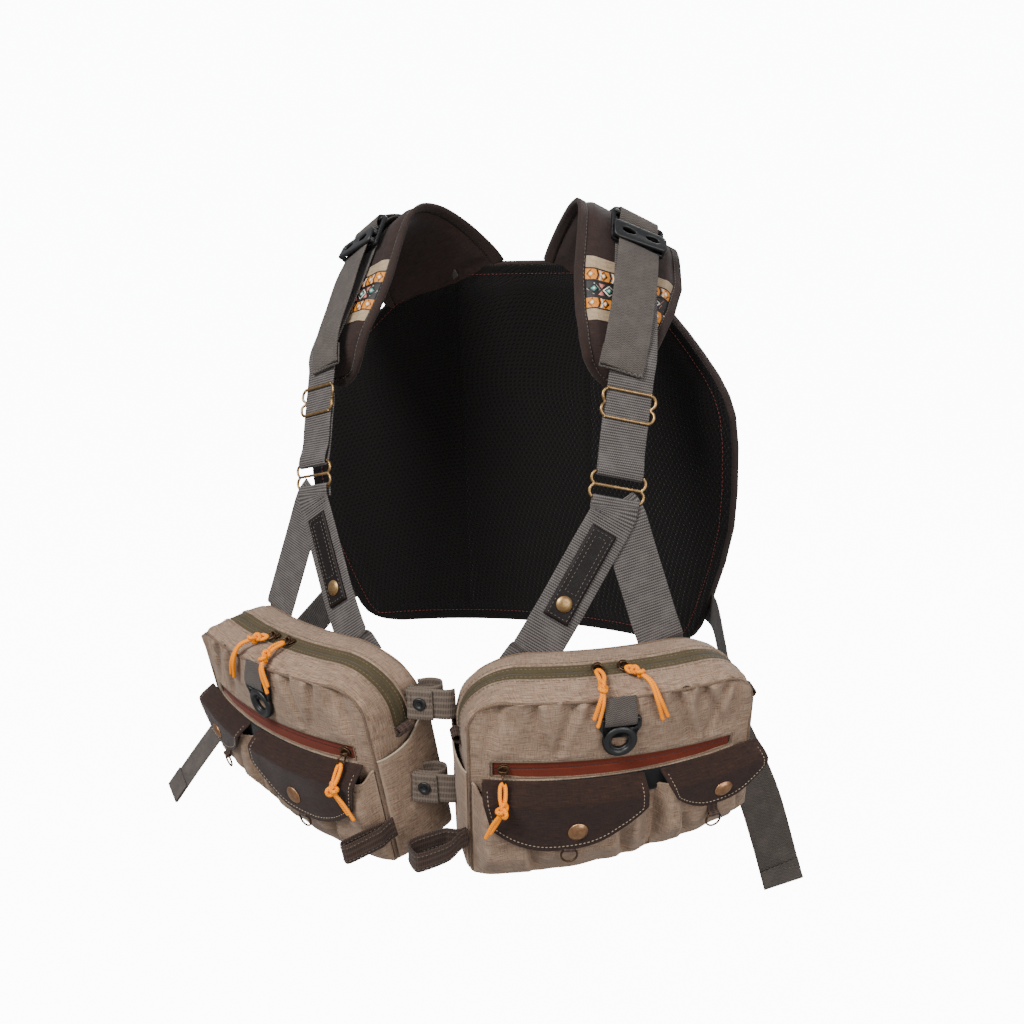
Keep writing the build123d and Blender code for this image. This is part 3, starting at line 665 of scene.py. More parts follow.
def moulded(name, base, rough=0.42):
    """Moulded plastic with a fine spark-eroded grain and scuffed edges."""
    g = Graph(name)
    place = g.millimetres("Object")
    grain = g.cells(place, 3.2)
    scuffs = g.noise(g.stretch(place, (0.6, 0.6, 2.4)), 0.7, 4.0, 0.7)
    colour = g.mix(g.ramp(scuffs, [(0.55, 0.0), (0.75, 0.6)]), linear(*base), linear(*shade(base, 1.9)))
    colour = g.mix(g.math("MULTIPLY", g.edges(0.51, 0.6), 0.5), colour, linear(*shade(base, 2.4)))
    g.set("Base Color", colour)
    g.set("Roughness", g.ramp(scuffs, [(0.3, rough), (0.8, rough + 0.2)]))
    g.bump(grain, 0.12, 0.12)
    return g.material


def leather(name, base, dark):
    """Waxed split leather with pores, creases and rubbed edges."""
    g = Graph(name)
    uv = g.millimetres()
    pores = g.cells(uv, 1.5)
    creases = g.noise(uv, 0.16, 5.0, 0.65, 1.2)
    colour = g.mix(g.ramp(creases, [(0.35, 0.0), (0.65, 1.0)]), linear(*dark), linear(*base))
    colour = g.mix(g.ramp(pores, [(0.1, 0.5), (0.4, 0.0)]), colour, linear(*shade(dark, 0.7)))
    colour = g.mix(g.math("MULTIPLY", g.edges(0.51, 0.58), 0.4), colour, linear(*shade(base, 1.5)))
    g.set("Base Color", colour)
    g.set("Roughness", g.ramp(creases, [(0.3, 0.5), (0.7, 0.72)]))
    g.bump(g.math("ADD", pores, g.math("MULTIPLY", creases, 1.5)), 0.35, 0.4)
    g.set("Specular IOR Level", 0.22)
    return g.material


def braid(name, base, dark):
    """Braided cord sheath: crossing strands round and along the cord."""
    g = Graph(name)
    pitch = 1.9
    uv = g.millimetres()
    u, v, _ = g.parts(uv)
    left = g.wave(g.math("ADD", v, u), pitch)
    right = g.wave(g.math("SUBTRACT", v, u), pitch)
    strands = g.math("MAXIMUM", left, right)
    fuzz = g.noise(uv, 1.8, 2.0, 0.6)
    tone = g.math("ADD", g.math("MULTIPLY", strands, 0.75), g.math("MULTIPLY", fuzz, 0.35))
    g.set("Base Color", g.ramp(tone, [(0.3, linear(*dark)), (0.75, linear(*base))]))
    g.bump(tone, 0.45, 0.3)
    g.set("Roughness", 0.7)
    g.set("Specular IOR Level", 0.15)
    return g.material


def thread(name, base):
    """Sewing thread: twisted, slightly shiny."""
    g = Graph(name)
    place = g.millimetres("Object")
    twist = g.noise(g.stretch(place, (2.5, 2.5, 5.0)), 1.0, 2.0, 0.6)
    stops = [(0.35, linear(*shade(base, 0.72))), (0.65, linear(*shade(base, 1.08)))]
    g.set("Base Color", g.ramp(twist, stops))
    g.bump(twist, 0.5, 0.15)
    g.set("Roughness", 0.6)
    return g.material


def open_cell(name, base):
    """Open-cell foam: a fine field of pits."""
    g = Graph(name)
    place = g.millimetres("Object")
    pits = g.cells(place, 0.9)
    g.set("Base Color", g.ramp(pits, [(0.05, linear(*shade(base, 0.5))), (0.5, linear(*base))]))
    g.bump(pits, 0.6, 0.5)
    g.set("Roughness", 0.95)
    return g.material


BAG_CLOTH = heather("bag_cloth", (128, 106, 88), (76, 58, 45), (162, 140, 120), (140, 93, 60))
# Painted shade: a darker copy of the bag cloth, so the piping and the zip window's folded edge read as seams
# with a slight shadow.
BAG_CLOTH_SHADED = heather("bag_cloth_piping_shaded", (100, 80, 64), (62, 46, 34), (128, 107, 90), (112, 74, 48))
FLAP_CLOTH = heather("flap_cloth", (35, 19, 13), (17, 9, 6), (55, 34, 24), (45, 23, 14), 1.0, 0.8, (0.1, 1.6))
PAD_CLOTH = heather("pad_cloth", (37, 24, 20), (22, 13, 10), (53, 37, 32), (44, 27, 20), 1.0, 0.8, (0.1, 1.6))
BINDING = woven_tape("binding_tape", (37, 24, 19), (17, 10, 8), (54, 37, 30), 1.1, 0.9)
WEBBING = woven_tape("webbing_ribbed", (72, 67, 64), (31, 27, 27), (105, 99, 96), 2.1, 1.7)
WEBBING_FINE = woven_tape("webbing_twill", (68, 62, 57), (35, 31, 29), (97, 88, 82), 1.5, 1.2, 0.55)
WEBBING_STRIPED = woven_tape("webbing_striped", (78, 67, 59), (44, 36, 31), (108, 95, 83), 1.3, 1.1,
                             bump=0.5, stripes=5.0)
WEBBING_BROWN = woven_tape("webbing_brown", (50, 36, 30), (25, 18, 15), (74, 56, 47), 1.6, 1.3,
                           bump=0.5, stripes=4.6)
ZIP_OLIVE = woven_tape("zip_tape_olive", (64, 54, 33), (44, 37, 21), (80, 69, 45), 1.0, 0.8, 0.6, 0.35)
ZIP_RUST = woven_tape("zip_tape_rust", (90, 30, 11), (64, 17, 6), (108, 41, 18), 1.0, 0.8, 0.6, 0.35)
COIL_OLIVE = moulded("coil_olive", (44, 38, 26))
COIL_RUST = moulded("coil_rust", (52, 18, 11))
# Painted shade: near-black cloth for the sheets inside the pocket mouths and between the pockets, where shade
# falls.
POCKET_SHADE_CLOTH = heather("painted_shade_cloth", (7, 6, 6), (3, 3, 3), (12, 11, 10), (8, 7, 7))
AIR_MESH = spacer_mesh("air_mesh", (11, 8, 7), (2, 1, 1))
FOAM = open_cell("foam", (64, 62, 60))
BRASS = metal("antique_brass", (158, 128, 88), (108, 82, 52))
BRASS_DARK = metal("dark_brass", (96, 74, 56), (40, 30, 24), 0.4)
SNAP = metal("snap_brass", (158, 120, 88), (112, 80, 58), 0.3)
PLASTIC = moulded("black_plastic", (5, 5, 6), 0.36)
LEATHER = leather("leather", (17, 8, 7), (9, 4, 3))
CORD = braid("cord_orange", (238, 138, 0), (190, 84, 0))
THREAD_PALE = thread("thread_pale", (150, 134, 114))
THREAD_BAG = thread("thread_bag", (112, 93, 73))
THREAD_DARK = thread("thread_dark", (52, 42, 36))
THREAD_RED = thread("thread_red", (104, 38, 34))
THREAD_GREY = thread("thread_grey", (90, 83, 73))


# ---------- bag ----------

def ease(t):
    t = np.clip(t, 0, 1)
    return t * t * (3 - 2 * t)


def outline_size(n):
    """Half-width, top height and top corner radius of the bag outline at n behind the front."""
    depth = np.clip(-n / BAG_DEPTH, 0, 1)
    tops = (152.5, 156.2, 159.4, 160.3, 161.3, 161.5, 160.0)
    top = np.interp(depth, (0, 0.12, 0.36, 0.5, 0.64, 0.9, 1), tops)
    corner = np.interp(depth, (0, 0.36, 0.64, 1), (27, 42, 50, 60))
    width = np.interp(depth, (0, 0.1, 0.5, 0.9, 1), (112.6, 114.2, 115.4, 114.6, 113))
    return width, top, corner


BOTTOM_CORNER = 6.0


def outline_rows(n):
    """(half width, height) pairs up one side of the outline, bottom to top."""
    width, top, corner = outline_size(n)
    rows = []
    for angle in np.linspace(-90, 0, 9):
        a = math.radians(angle)
        reach = width - BOTTOM_CORNER + BOTTOM_CORNER * math.cos(a)
        rows.append((reach, BOTTOM_CORNER + BOTTOM_CORNER * math.sin(a)))
    for z in np.linspace(BOTTOM_CORNER, top - corner, 56)[1:-1]:
        rows.append((width, z))
    for angle in np.linspace(0, 90, 25):
        a = math.radians(angle)
        rows.append((width - corner + corner * math.cos(a), top - corner + corner * math.sin(a)))
    return rows


COLUMNS = 117


def outline_loop(n):
    """Points (x, z) once round the outline, starting at the inner bottom, in a fixed order."""
    rows = outline_rows(n)
    steps = np.linspace(-1, 1, COLUMNS)
    left = [(-w, z) for w, z in rows]
    top = [(rows[-1][0] * u, rows[-1][1]) for u in steps[1:-1]]
    right = [(w, z) for w, z in reversed(rows)]
    bottom = [(rows[0][0] * u, rows[0][1]) for u in steps[::-1][1:-1]]
    return np.array(left + top + right + bottom)


def to_bag(x, n, z):
    radius = FRONT_RADIUS + n
    return np.stack([x, FRONT_RADIUS - np.sqrt(np.maximum(radius ** 2 - x ** 2, 1)), z], -1)


def panel_grid(n):
    """Grid (rows, columns) of x and z that fills the outline at n."""
    rows = outline_rows(n)
    steps = np.linspace(-1, 1, COLUMNS)
    x = np.array([[w * u for u in steps] for w, z in rows])
    z = np.array([[z] * COLUMNS for w, z in rows])
    return x, z


ZIP_MIDDLE = -29.0
ZIP_END_Z = 105.0
ZIP_EDGE = 8.0
RECESS = 1.7
FRONT_ZIP_Z = 93.0
WINDOW_TOP = 99.4
WINDOW_HALF = 96


def in_zip(z):
    """1 on the part of the outline that the main zip runs along."""
    return ease((z - ZIP_END_Z + 3) / 4)


# Folds that fall from the top seam: place, tilt, depth and reach.
DRAPES = ((-90, -0.2, 3.6, 34), (-66, 0.25, 4.2, 40), (-34, -0.3, 4.2, 50), (8, 0.15, 1.6, 30),
          (44, 0.35, 5.4, 54), (66, 0.5, 4.2, 34), (90, -0.4, 3.8, 38))


def zip_bottom(s):
    """Lower edge of the front zip's window, pulled down in the middle by the pockets."""
    return 86.9 - 2.6 * np.maximum(1 - (s / 96.0) ** 2, 0)


def front_relief(x, z):
    """Depth of the front panel in front of its flat shape: crown, drapes and the zip window."""
    w, top, _ = outline_size(0.0)
    edge = np.minimum(np.minimum(w - np.abs(x), top - z), z + 8)
    relief = 2.2 * ease(edge / 30)
    fall = top - z
    for place, tilt, depth, reach in DRAPES:
        valley = np.exp(-((x - place - tilt * fall) / 3.6) ** 2) * np.exp(-fall / reach) * ease(fall / 4)
        ridge = np.exp(-((x - place - 7.5 - tilt * fall) / 4.5) ** 2) * np.exp(-fall / reach) * ease(fall / 4)
        relief = relief + (0.6 * ridge - valley) * depth
    flat = relief.ravel()
    for i, (px, pz) in enumerate(zip(x.ravel(), z.ravel())):
        if pz < 102:
            continue
        quiet = ease((pz - 102) / 8)
        soft = wobble((px, 0, pz * 0.5), 23.0, 1.7)
        puckers = wobble((px, 4, pz * 0.28), 7.5, 3.1)
        near_top = math.exp(-max(0.0, top - pz) / 16)
        near_side = math.exp(-max(0.0, w - abs(px)) / 20)
        calm = 1 - 0.4 * math.exp(-(px / 22) ** 2)
        flat[i] += quiet * calm * (2.9 * soft + 3.4 * puckers * near_top + 2.2 * puckers * near_side)
    relief = flat.reshape(relief.shape)
    low = zip_bottom(x)
    inside = np.minimum(np.minimum(WINDOW_TOP - z, z - low), 97.0 - np.abs(x * 1.01))
    window = ease(inside / 1.3)
    lip = ease((inside + 5.0) / 4.0)
    return relief * (1 - lip) + 0.9 * lip - 2.6 * window


def bag_shell():
    """Closed fabric shell: crowned front, gusset with the zip channel, rear."""
    x, z = panel_grid(0.0)
    relief = front_relief(x, z)
    front = to_bag(x, 0.0, z)
    radial = np.stack([x / FRONT_RADIUS, (front[..., 1] - FRONT_RADIUS) / FRONT_RADIUS, np.zeros_like(x)], -1)
    front = front + radial * relief[..., None]
    rows = x.shape[0]
    uv_front = np.stack([x, z], -1)

    depths = [-0.5, -1.6, -3, -5, -7.5, -10, -12.5, -15, -17.5, -19.6, -20.9, -21.5, -22.4, -25, -29]
    depths += [-33, -35.6, -36.5, -37.1, -38.4, -41, -44, -47, -50, -53, -55.5, -57.2]
    rings, ring_uv = [], []
    for n in depths:
        loop = outline_loop(n)
        px, pz = loop[:, 0], loop[:, 1]
        width, top, corner = outline_size(n)
        outward = np.stack([np.sign(px) * np.clip((np.abs(px) - (width - corner)) / corner, 0, 1),
                            np.where(pz > 80, np.clip((pz - (top - corner)) / corner, 0, 1),
                                     -np.clip((BOTTOM_CORNER - pz) / BOTTOM_CORNER, 0, 1))], -1)
        outward /= np.maximum(np.linalg.norm(outward, axis=1, keepdims=True), 1e-6)
        zipped = in_zip(pz)
        channel = float(abs(n - ZIP_MIDDLE) < ZIP_EDGE)
        fold = math.exp(-(abs(n - ZIP_MIDDLE) - ZIP_EDGE) ** 2) * (1 - channel)
        seam = -0.9 * math.exp(-abs(n) / 1.5) - 0.9 * math.exp(-abs(n + BAG_DEPTH) / 1.5)
        push = np.zeros(len(px))
        for i, (a, b) in enumerate(loop):
            front_pucker = wobble((a, n * 0.5, b), 7.0, 5.3) * math.exp(n / 9)
            slack = wobble((a * 0.6, n * 1.2, b), 26.0, 2.2)
            strength = 1.3 + 1.3 * ease((b - 96) / 10) + 2.4 * ease((a - 10) / 25) * ease((b - 120) / 15)
            push[i] = front_pucker * strength + slack * 2.0 * (1 if b < 150 else 0.35)
        quiet = 1 - np.exp(-((n - ZIP_MIDDLE) / 12.0) ** 2) * zipped
        push = push * quiet + seam - zipped * RECESS * channel + zipped * 0.5 * fold
        ring = loop + outward * push[:, None]
        rings.append(to_bag(ring[:, 0], n, ring[:, 1]))
        length = np.concatenate([[0], np.linalg.norm(np.diff(loop, axis=0), axis=1).cumsum()])
        ring_uv.append(np.stack([length, np.full(len(loop), n)], -1))
    rings = np.array(rings)
    ring_uv = np.array(ring_uv)

    bx, bz = panel_grid(-BAG_DEPTH)
    back = to_bag(bx, -BAG_DEPTH - 0.2, bz)
    sag = np.array([wobble((a, 9, b), 34.0, 4.4) for a, b in zip(bx.ravel(), bz.ravel())]).reshape(bx.shape)
    inside = ease(np.minimum(np.minimum(110 - np.abs(bx), bz), 158 - bz) / 18)
    back[..., 1] += (1.2 + 1.3 * sag) * inside

    border = [(i, 0) for i in range(rows)]
    border += [(rows - 1, j) for j in range(1, COLUMNS - 1)]
    border += [(i, COLUMNS - 1) for i in range(rows - 1, -1, -1)]
    border += [(0, j) for j in range(COLUMNS - 2, 0, -1)]
    count = rows * COLUMNS
    loop_count = len(border)
    verts = np.concatenate([front.reshape(-1, 3), rings.reshape(-1, 3), back.reshape(-1, 3)])
    uv_back = np.stack([bx, bz], -1)
    uvs = np.concatenate([uv.reshape(-1, 2) for uv in (uv_front, ring_uv, uv_back)])
    faces = grid_faces(rows, COLUMNS)
    front_ids = [i * COLUMNS + j for i, j in border]
    base = count
    previous = front_ids
    for k in range(len(rings)):
        current = [base + k * loop_count + i for i in range(loop_count)]
        for i in range(loop_count):
            j = (i + 1) % loop_count
            faces.append((previous[i], current[i], current[j], previous[j]))
        previous = current
    base += len(rings) * loop_count
    back_ids = [base + i * COLUMNS + j for i, j in border]
    for i in range(loop_count):
        j = (i + 1) % loop_count
        faces.append((previous[i], back_ids[i], back_ids[j], previous[j]))
    faces += grid_faces(rows, COLUMNS, flip=True, base=base)
    return verts, faces, uvs * MM


def outline_path(n, lift=0.0, start=None, count=None):
    """Path round the outline at n, lifted outwards; start limits it to the part above that height."""
    loop = outline_loop(n)
    if start is not None:
        loop = loop[loop[:, 1] >= start - 0.01]
        rise = [p for p in loop if p[0] < 0 and p[1] < loop[:, 1].max() - 1e-6]
        rise.sort(key=lambda p: p[1])
        top = [p for p in loop if p[1] >= loop[:, 1].max() - 1e-6]
        top.sort(key=lambda p: p[0])
        fall = [p for p in loop if p[0] > 0 and p[1] < loop[:, 1].max() - 1e-6]
        fall.sort(key=lambda p: -p[1])
        loop = np.array(rise + top + fall)
    step = np.gradient(loop, axis=0)
    if start is None:
        step = np.roll(loop, -1, axis=0) - np.roll(loop, 1, axis=0)
    normal = np.stack([-step[:, 1], step[:, 0]], -1)
    normal /= np.maximum(np.linalg.norm(normal, axis=1, keepdims=True), 1e-9)
    lifted = loop + normal * lift
    if count:
        lifted = resample(lifted, count)
    return lifted


def bag_points(path, n):
    return to_bag(path[:, 0], n, path[:, 1])


def piping():
    """Corded seam round the front panel and the seam round the rear."""
    shapes = []
    for n, lift, radius in ((0.2, -0.5, 1.15), (-BAG_DEPTH + 0.3, -0.6, 1.0)):
        path = outline_path(n, lift)
        points = bag_points(path, n)
        shapes.append(sweep(points, circle(radius, 8), closed=True))
    return join(*shapes)


def zip_tape(offset, first, last):
    """Half of the main zip's tape, between two distances from the front."""
    rows = []
    for n in np.linspace(first, last, 7):
        path = outline_path(n, offset, start=ZIP_END_Z, count=170)
        rows.append(bag_points(path, n))
    return sheet(rows, 0.7)


def coil(points, radius):
    """Zip coil: a thin ridged strand."""
    pitch = 1.3
    length = np.linalg.norm(np.diff(points, axis=0), axis=1).sum()
    path = resample(points, int(length / pitch * 4))
    scale = [0.72 + 0.28 * abs(math.sin(math.pi * i / 4)) for i in range(len(path))]
    return sweep(path, circle(radius, 6), scale=scale)


def main_zip(side):
    """Olive zip over the top of the bag: tapes, coil and the stitching on both sides of it."""
    front_half = zip_tape(-1.0, -28.72, -20.8)
    rear_half = zip_tape(-1.0, -37.2, -29.28)
    make("main_zip_tapes", side, BAG, join(front_half, rear_half), ZIP_OLIVE, f"front_{side}",
         [f"main_zip_tape_{side}"])
    middle = bag_points(outline_path(ZIP_MIDDLE, -1.35, start=ZIP_END_Z, count=200), ZIP_MIDDLE)
    make("main_zip_coil", side, BAG, coil(middle, 0.8), COIL_OLIVE, f"front_{side}")
    seams = []
    for n in (-18.9, -39.1):
        path = outline_path(n, 0.42, start=ZIP_END_Z - 4, count=180)
        seams.append(dashes(bag_points(path, n), 2.5, 1.4, 0.3))
    for n in (-24.6, -33.4):
        path = outline_path(n, -0.45, start=ZIP_END_Z, count=180)
        seams.append(dashes(bag_points(path, n), 2.3, 1.2, 0.24))
    make("main_zip_stitching", side, BAG, join(*seams), THREAD_BAG, f"front_{side}")


def front_zip(side):
    """Rust zip in its window, with the folded and stitched window edge."""
    spread = np.linspace(-95, 95, 120)
    upper = []
    for z in np.linspace(93.25, 99.6, 6):
        out = -0.9 + 0.4 * math.exp(-((z - FRONT_ZIP_Z) / 1.5) ** 2)
        upper.append([arc(s, out, z) for s in spread])
    lower = []
    for t in np.linspace(0, 1, 8):
        row = []
        for s in spread:
            low = zip_bottom(s) - 0.4
            out = -0.9 + 0.4 * math.exp(-(t * 4) ** 2) + 1.1 * t * (86.9 - low) / 3
            row.append(arc(s, out, low + (92.75 - low) * (1 - t)))
        lower.append(row)
    tapes = join(sheet(upper, 0.7), sheet(lower[::-1], 0.7))
    make("front_zip_tapes", side, BAG, tapes, ZIP_RUST, f"front_{side}", [f"front_zip_tape_{side}"])
    line = np.array([arc(s, -0.9, FRONT_ZIP_Z) for s in np.linspace(-94, 94, 150)])
    make("front_zip_coil", side, BAG, coil(line, 0.75), COIL_RUST, f"front_{side}")

    def window(out, grow):
        half = WINDOW_HALF + grow
        top = [arc(s, out, WINDOW_TOP + grow) for s in np.linspace(-half, half, 90)]
        right = [arc(half, out, z) for z in np.linspace(99 + grow, 87 - grow, 8)]
        bottom = [arc(s, out, zip_bottom(s) - grow) for s in np.linspace(half, -half, 90)]
        left = [arc(-half, out, z) for z in np.linspace(87 - grow, 99 + grow, 8)]
        return top + right[1:-1] + bottom + left[1:-1]

    stitches = dashes(window(1.15, 2.0), 2.2, 1.1, 0.28, closed=True)
    make("front_zip_stitching", side, BAG, stitches, THREAD_PALE, f"front_{side}")
    # The folded edge takes the darker copy of the bag cloth: painted shade along the fold.
    fold = sweep(window(0.35, 0.0), circle(0.8, 7), closed=True)
    make("front_zip_window_edge", side, BAG, fold, BAG_CLOTH_SHADED, f"front_{side}")


POCKETS = {
    "inner": {"ends": (-111.0, 26.5), "flap": (-103.0, 20.5), "slant": 8.0, "corners": (53.0, 59.0),
              "tip": 31.0, "snap": (-33.0, 46.0), "ring": (-38.0, 29.5), "darts": (-68.0, 2.0), "seed": 1.3},
    "outer": {"ends": (29.5, 116.0), "flap": (34.5, 120.0), "slant": 9.0, "corners": (61.0, 66.0),
              "tip": 42.0, "snap": (80.0, 56.0), "ring": (75.0, 42.0), "darts": (52.0, 98.0), "seed": 6.1},
}


def pocket_mouth(s, kind):
    """Height of the pocket's top edge: high at the bag's sides, sagging between the pockets."""
    start, end = POCKETS[kind]["ends"]
    high = 1 - ease((s - start) / 9) if kind == "inner" else ease((s - end + 9) / 9)
    low = ease((s - end + 16) / 12) if kind == "inner" else 1 - ease((s - start - 2) / 14)
    return 71.5 + 9.0 * high - 4.5 * low


def pocket_depth(s, z, kind):
    """How far a pocket's front stands off the panel."""
    spec = POCKETS[kind]
    start, end = spec["ends"]
    side_rise = ease(min(s - start, end - s) / 14.0 + 0.05)
    depth = 0.8 + 13.0 * side_rise * (0.2 + 0.8 * ease((z + 3) / 27.0))
    for place in spec["darts"]:
        reach = s - place + 0.12 * (z - 30)
        open_ = (1.0 - ease((z - 14) / 44.0)) * (0.2 + 0.8 * ease((z - 1) / 14.0))
        depth -= 8.6 * open_ * math.exp(-(reach / (1.6 if reach < 0 else 8.0)) ** 2) * side_rise
    depth += 2.1 * wobble((s, 3, z * 0.6), 17.0, spec["seed"]) * side_rise
    return depth * (1 - 0.2 * ease((z - 56) / 14))


def pocket(side, kind):
    """Bellows pocket on the front panel, with its hem and stitching, and a near-black sheet of painted shade
    inside its mouth.
    """
    spec = POCKETS[kind]
    start, end = spec["ends"]
    spread = np.linspace(start, end, int((end - start) / 1.2))
    grid = [[arc(s, n * pocket_depth(s, 2.0, kind), 0.5) for s in spread] for n in (0.1, 0.5, 0.9)]
    for t in np.linspace(0, 1, 58):
        heights = [2.0 + (pocket_mouth(s, kind) - 2.0) * t for s in spread]
        grid.append([arc(s, pocket_depth(s, z, kind), z) for s, z in zip(spread, heights)])
    make(f"pocket_{kind}", side, BAG, sheet(grid, 1.5), BAG_CLOTH, f"front_{side}",
         [f"outer_pockets_{side}"] if kind == "inner" else ())
    make(f"pocket_{kind}_hem", side, BAG, tube(grid[-1], 1.1, 8), BAG_CLOTH, f"front_{side}")
    # Painted shade: a near-black sheet inside the pocket's mouth.
    inner = np.linspace(start + 14, end - 3, 60)
    shade_sheet = [[arc(s, 2.9 + (pocket_depth(s, 66, kind) - 3.9) * t, z) for s in inner]
              for t, z in ((0, 84.0), (0, 74), (0.3, 64), (0.7, 60), (1, 65))]
    make(f"pocket_{kind}_lining", side, BAG, sheet(shade_sheet, 0.6), POCKET_SHADE_CLOTH, f"front_{side}")
    lines = [[arc(s, pocket_depth(s, z, kind) + 0.95, z) for z in np.linspace(3, 42, 30)]
             for s in (spec["darts"][0] - 3.4, spec["darts"][1] + 9.0)]
    lines.append([arc(s, pocket_depth(s, pocket_mouth(s, kind) - 5, kind) + 0.95, pocket_mouth(s, kind) - 5)
                  for s in np.linspace(start + 3, end - 3, 90)])
    make(f"pocket_{kind}_stitching", side, BAG, join(*[dashes(p, 2.3, 1.3, 0.24) for p in lines]),
         THREAD_BAG, f"front_{side}")


def flap_bottom(s, kind):
    """Height of the flap's curved lower edge."""
    spec = POCKETS[kind]
    start, end = spec["flap"]
    u = 2 * (s - start) / (end - start) - 1
    corner = spec["corners"][0 if u < 0 else 1]
    return spec["tip"] + (corner - spec["tip"]) * abs(u) ** 2.4


def flap_point(s, v, kind, lift=0.0):
    """Flap point at arc s and v from 0 at the top edge to 1 at the lower edge, lifted off its face."""
    spec = POCKETS[kind]
    start, end = spec["flap"]
    top = 85.2 - 2.4 * max(1 - (s / 100) ** 2, 0)
    z = top + (flap_bottom(s, kind) - top) * v
    drop = top - z
    n = 2.2 + 15.0 * ease(drop / 13.0) ** 0.6
    n += (0.4 + 0.8 * wobble((s, 7, z), 22.0, spec["seed"] * 2)) * ease(drop / 20)
    n += 0.9 * ease((drop - 30) / 20)
    s = s + spec["slant"] * v * (1 - (s - start) / (end - start)) ** 2
    return arc(s, n + lift, z)


def flap(side, kind):
    """Pocket flap that bends open along its top edge, with its edge, stitching and snap."""
    start, end = POCKETS[kind]["flap"]
    spread = np.linspace(start, end, int((end - start) / 1.2))
    grid = np.array([[flap_point(s, v, kind) for s in spread] for v in np.linspace(0, 1, 48)])
    body = f"flap_{kind}_{side}"
    first = mirrored(BAG.world(arc((start + end) / 2, 12.0, 84.0)), side)
    last = mirrored(BAG.world(arc((start + end) / 2, 17.5, 74.0)), side)

    def bent(name, shape, material, replaced=()):
        obj = make(name, side, BAG, shape, material, None, replaced)
        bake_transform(obj)

    bent(f"flap_{kind}", sheet(grid[:, ::-1], 1.5), FLAP_CLOTH, [f"flap_{kind}_{side}"])
    down, up = np.linspace(0.05, 1, 30), np.linspace(1, 0.05, 30)
    rim = [flap_point(start, v, kind) for v in down] + [flap_point(s, 1, kind) for s in spread[1:-1]]
    bent(f"flap_{kind}_edge", tube(rim + [flap_point(end, v, kind) for v in up], 0.9, 8), FLAP_CLOTH)
    inset = 3.4
    line = [flap_point(start + inset, v, kind, 1.0) for v in np.linspace(0.12, 0.86, 24)]
    line += [flap_point(s, 1 - inset / (84 - flap_bottom(s, kind)), kind, 1.0)
             for s in np.linspace(start + inset, end - inset, 80)]
    line += [flap_point(end - inset, v, kind, 1.0) for v in np.linspace(0.86, 0.12, 24)]
    bent(f"flap_{kind}_stitching", dashes(line, 2.0, 1.25, 0.34), THREAD_PALE)
    s, z = POCKETS[kind]["snap"]
    v = (83 - z) / (83 - flap_bottom(s, kind))
    outward = (math.sin(s / FRONT_RADIUS), -math.cos(s / FRONT_RADIUS), 0)
    place = np.array(flap_point(s, v, kind, 0.5))
    place[2] = z
    make(f"flap_{kind}_snap", side, BAG, snap_cap(place, outward, 7.8, 3.1), SNAP, body)


def build_bag(side):
    make("bag_shell", side, BAG, bag_shell(), BAG_CLOTH, f"front_{side}", [f"bag_shell_{side}"])
    # The piping takes the darker copy of the bag cloth: painted shade along the seams.
    make("bag_piping", side, BAG, piping(), BAG_CLOTH_SHADED, f"front_{side}")
    main_zip(side)
    front_zip(side)
    for kind in POCKETS:
        pocket(side, kind)
        flap(side, kind)
    # Painted shade: a near-black sheet on the panel between the pockets, under the flaps.
    gap = [[arc(s, 3.2, z) for s in np.linspace(15, 46, 16)] for z in np.linspace(62, 84.2, 10)]
    make("pocket_gap_shade_sheet", side, BAG, sheet(gap, 0.6), POCKET_SHADE_CLOTH, f"front_{side}")


# ---------- sliders and pulls ----------

def slider(base, along, up):
    """Zip slider: teardrop plates, a waist and a bridge. Origin on the tape."""
    side = np.cross(up, along)
    local = Frame(along, side, up, base)
    outline = [(-4.2, -2.2), (-3.4, -3.6), (-1.0, -4.2), (1.6, -3.6), (4.4, -2.1), (4.8, 0)]
    outline = outline + [(x, -y) for x, y in reversed(outline[:-1])]
    shapes = []
    for height in (0.3, 2.4):
        verts, faces, _ = plate(outline, [], 1.0, 0.35)
        shapes.append((local.world(verts + np.array((0, 0, height))), faces, None))
    arch = ((-3.0, 2.6), (-2.8, 4.6), (-1.0, 6.0), (1.4, 6.0), (3.2, 4.6), (3.4, 2.6))
    arch = smooth_path([(x, 0, z) for x, z in arch], 18)
    shapes.append(placed(sweep(arch, web_section(2.6, 0.9, 0.3), across=(0, 1, 0)), local))
    shapes.append(placed(tube([(-1, 0, 0.6), (1, 0, 1.2), (-1, 0, 2.0)], 1.2, 8), local))
    return join(*shapes)


def ring_shape(centre, normal, radius, wire, count=36):
    normal = unit(normal)
    a = unit(np.cross(normal, (0.31, 0.87, 0.21)))
    b = np.cross(normal, a)
    path = [np.array(centre) + (a * math.cos(t) + b * math.sin(t)) * radius
            for t in np.linspace(0, 2 * math.pi, count, endpoint=False)]
    return sweep(path, circle(wire, 10), closed=True)


def overhand_knot(place, along, size, wire):
    """Lumpy overhand knot: a trefoil of cord squeezed along its length."""
    along = unit(along)
    a = unit(np.cross(along, (0.2, 0.9, 0.31)))
    b = np.cross(along, a)
    path = []
    for t in np.linspace(0, 2 * math.pi, 60, endpoint=False):
        x = (math.sin(t) + 1.6 * math.sin(2 * t)) * size * 0.33
        y = (math.cos(t) - 1.6 * math.cos(2 * t)) * size * 0.36
        z = -math.sin(3 * t) * size * 0.36
        path.append(np.array(place) + along * x * 1.25 + a * y + b * z)
    return sweep(path, circle(wire, 9), closed=True)


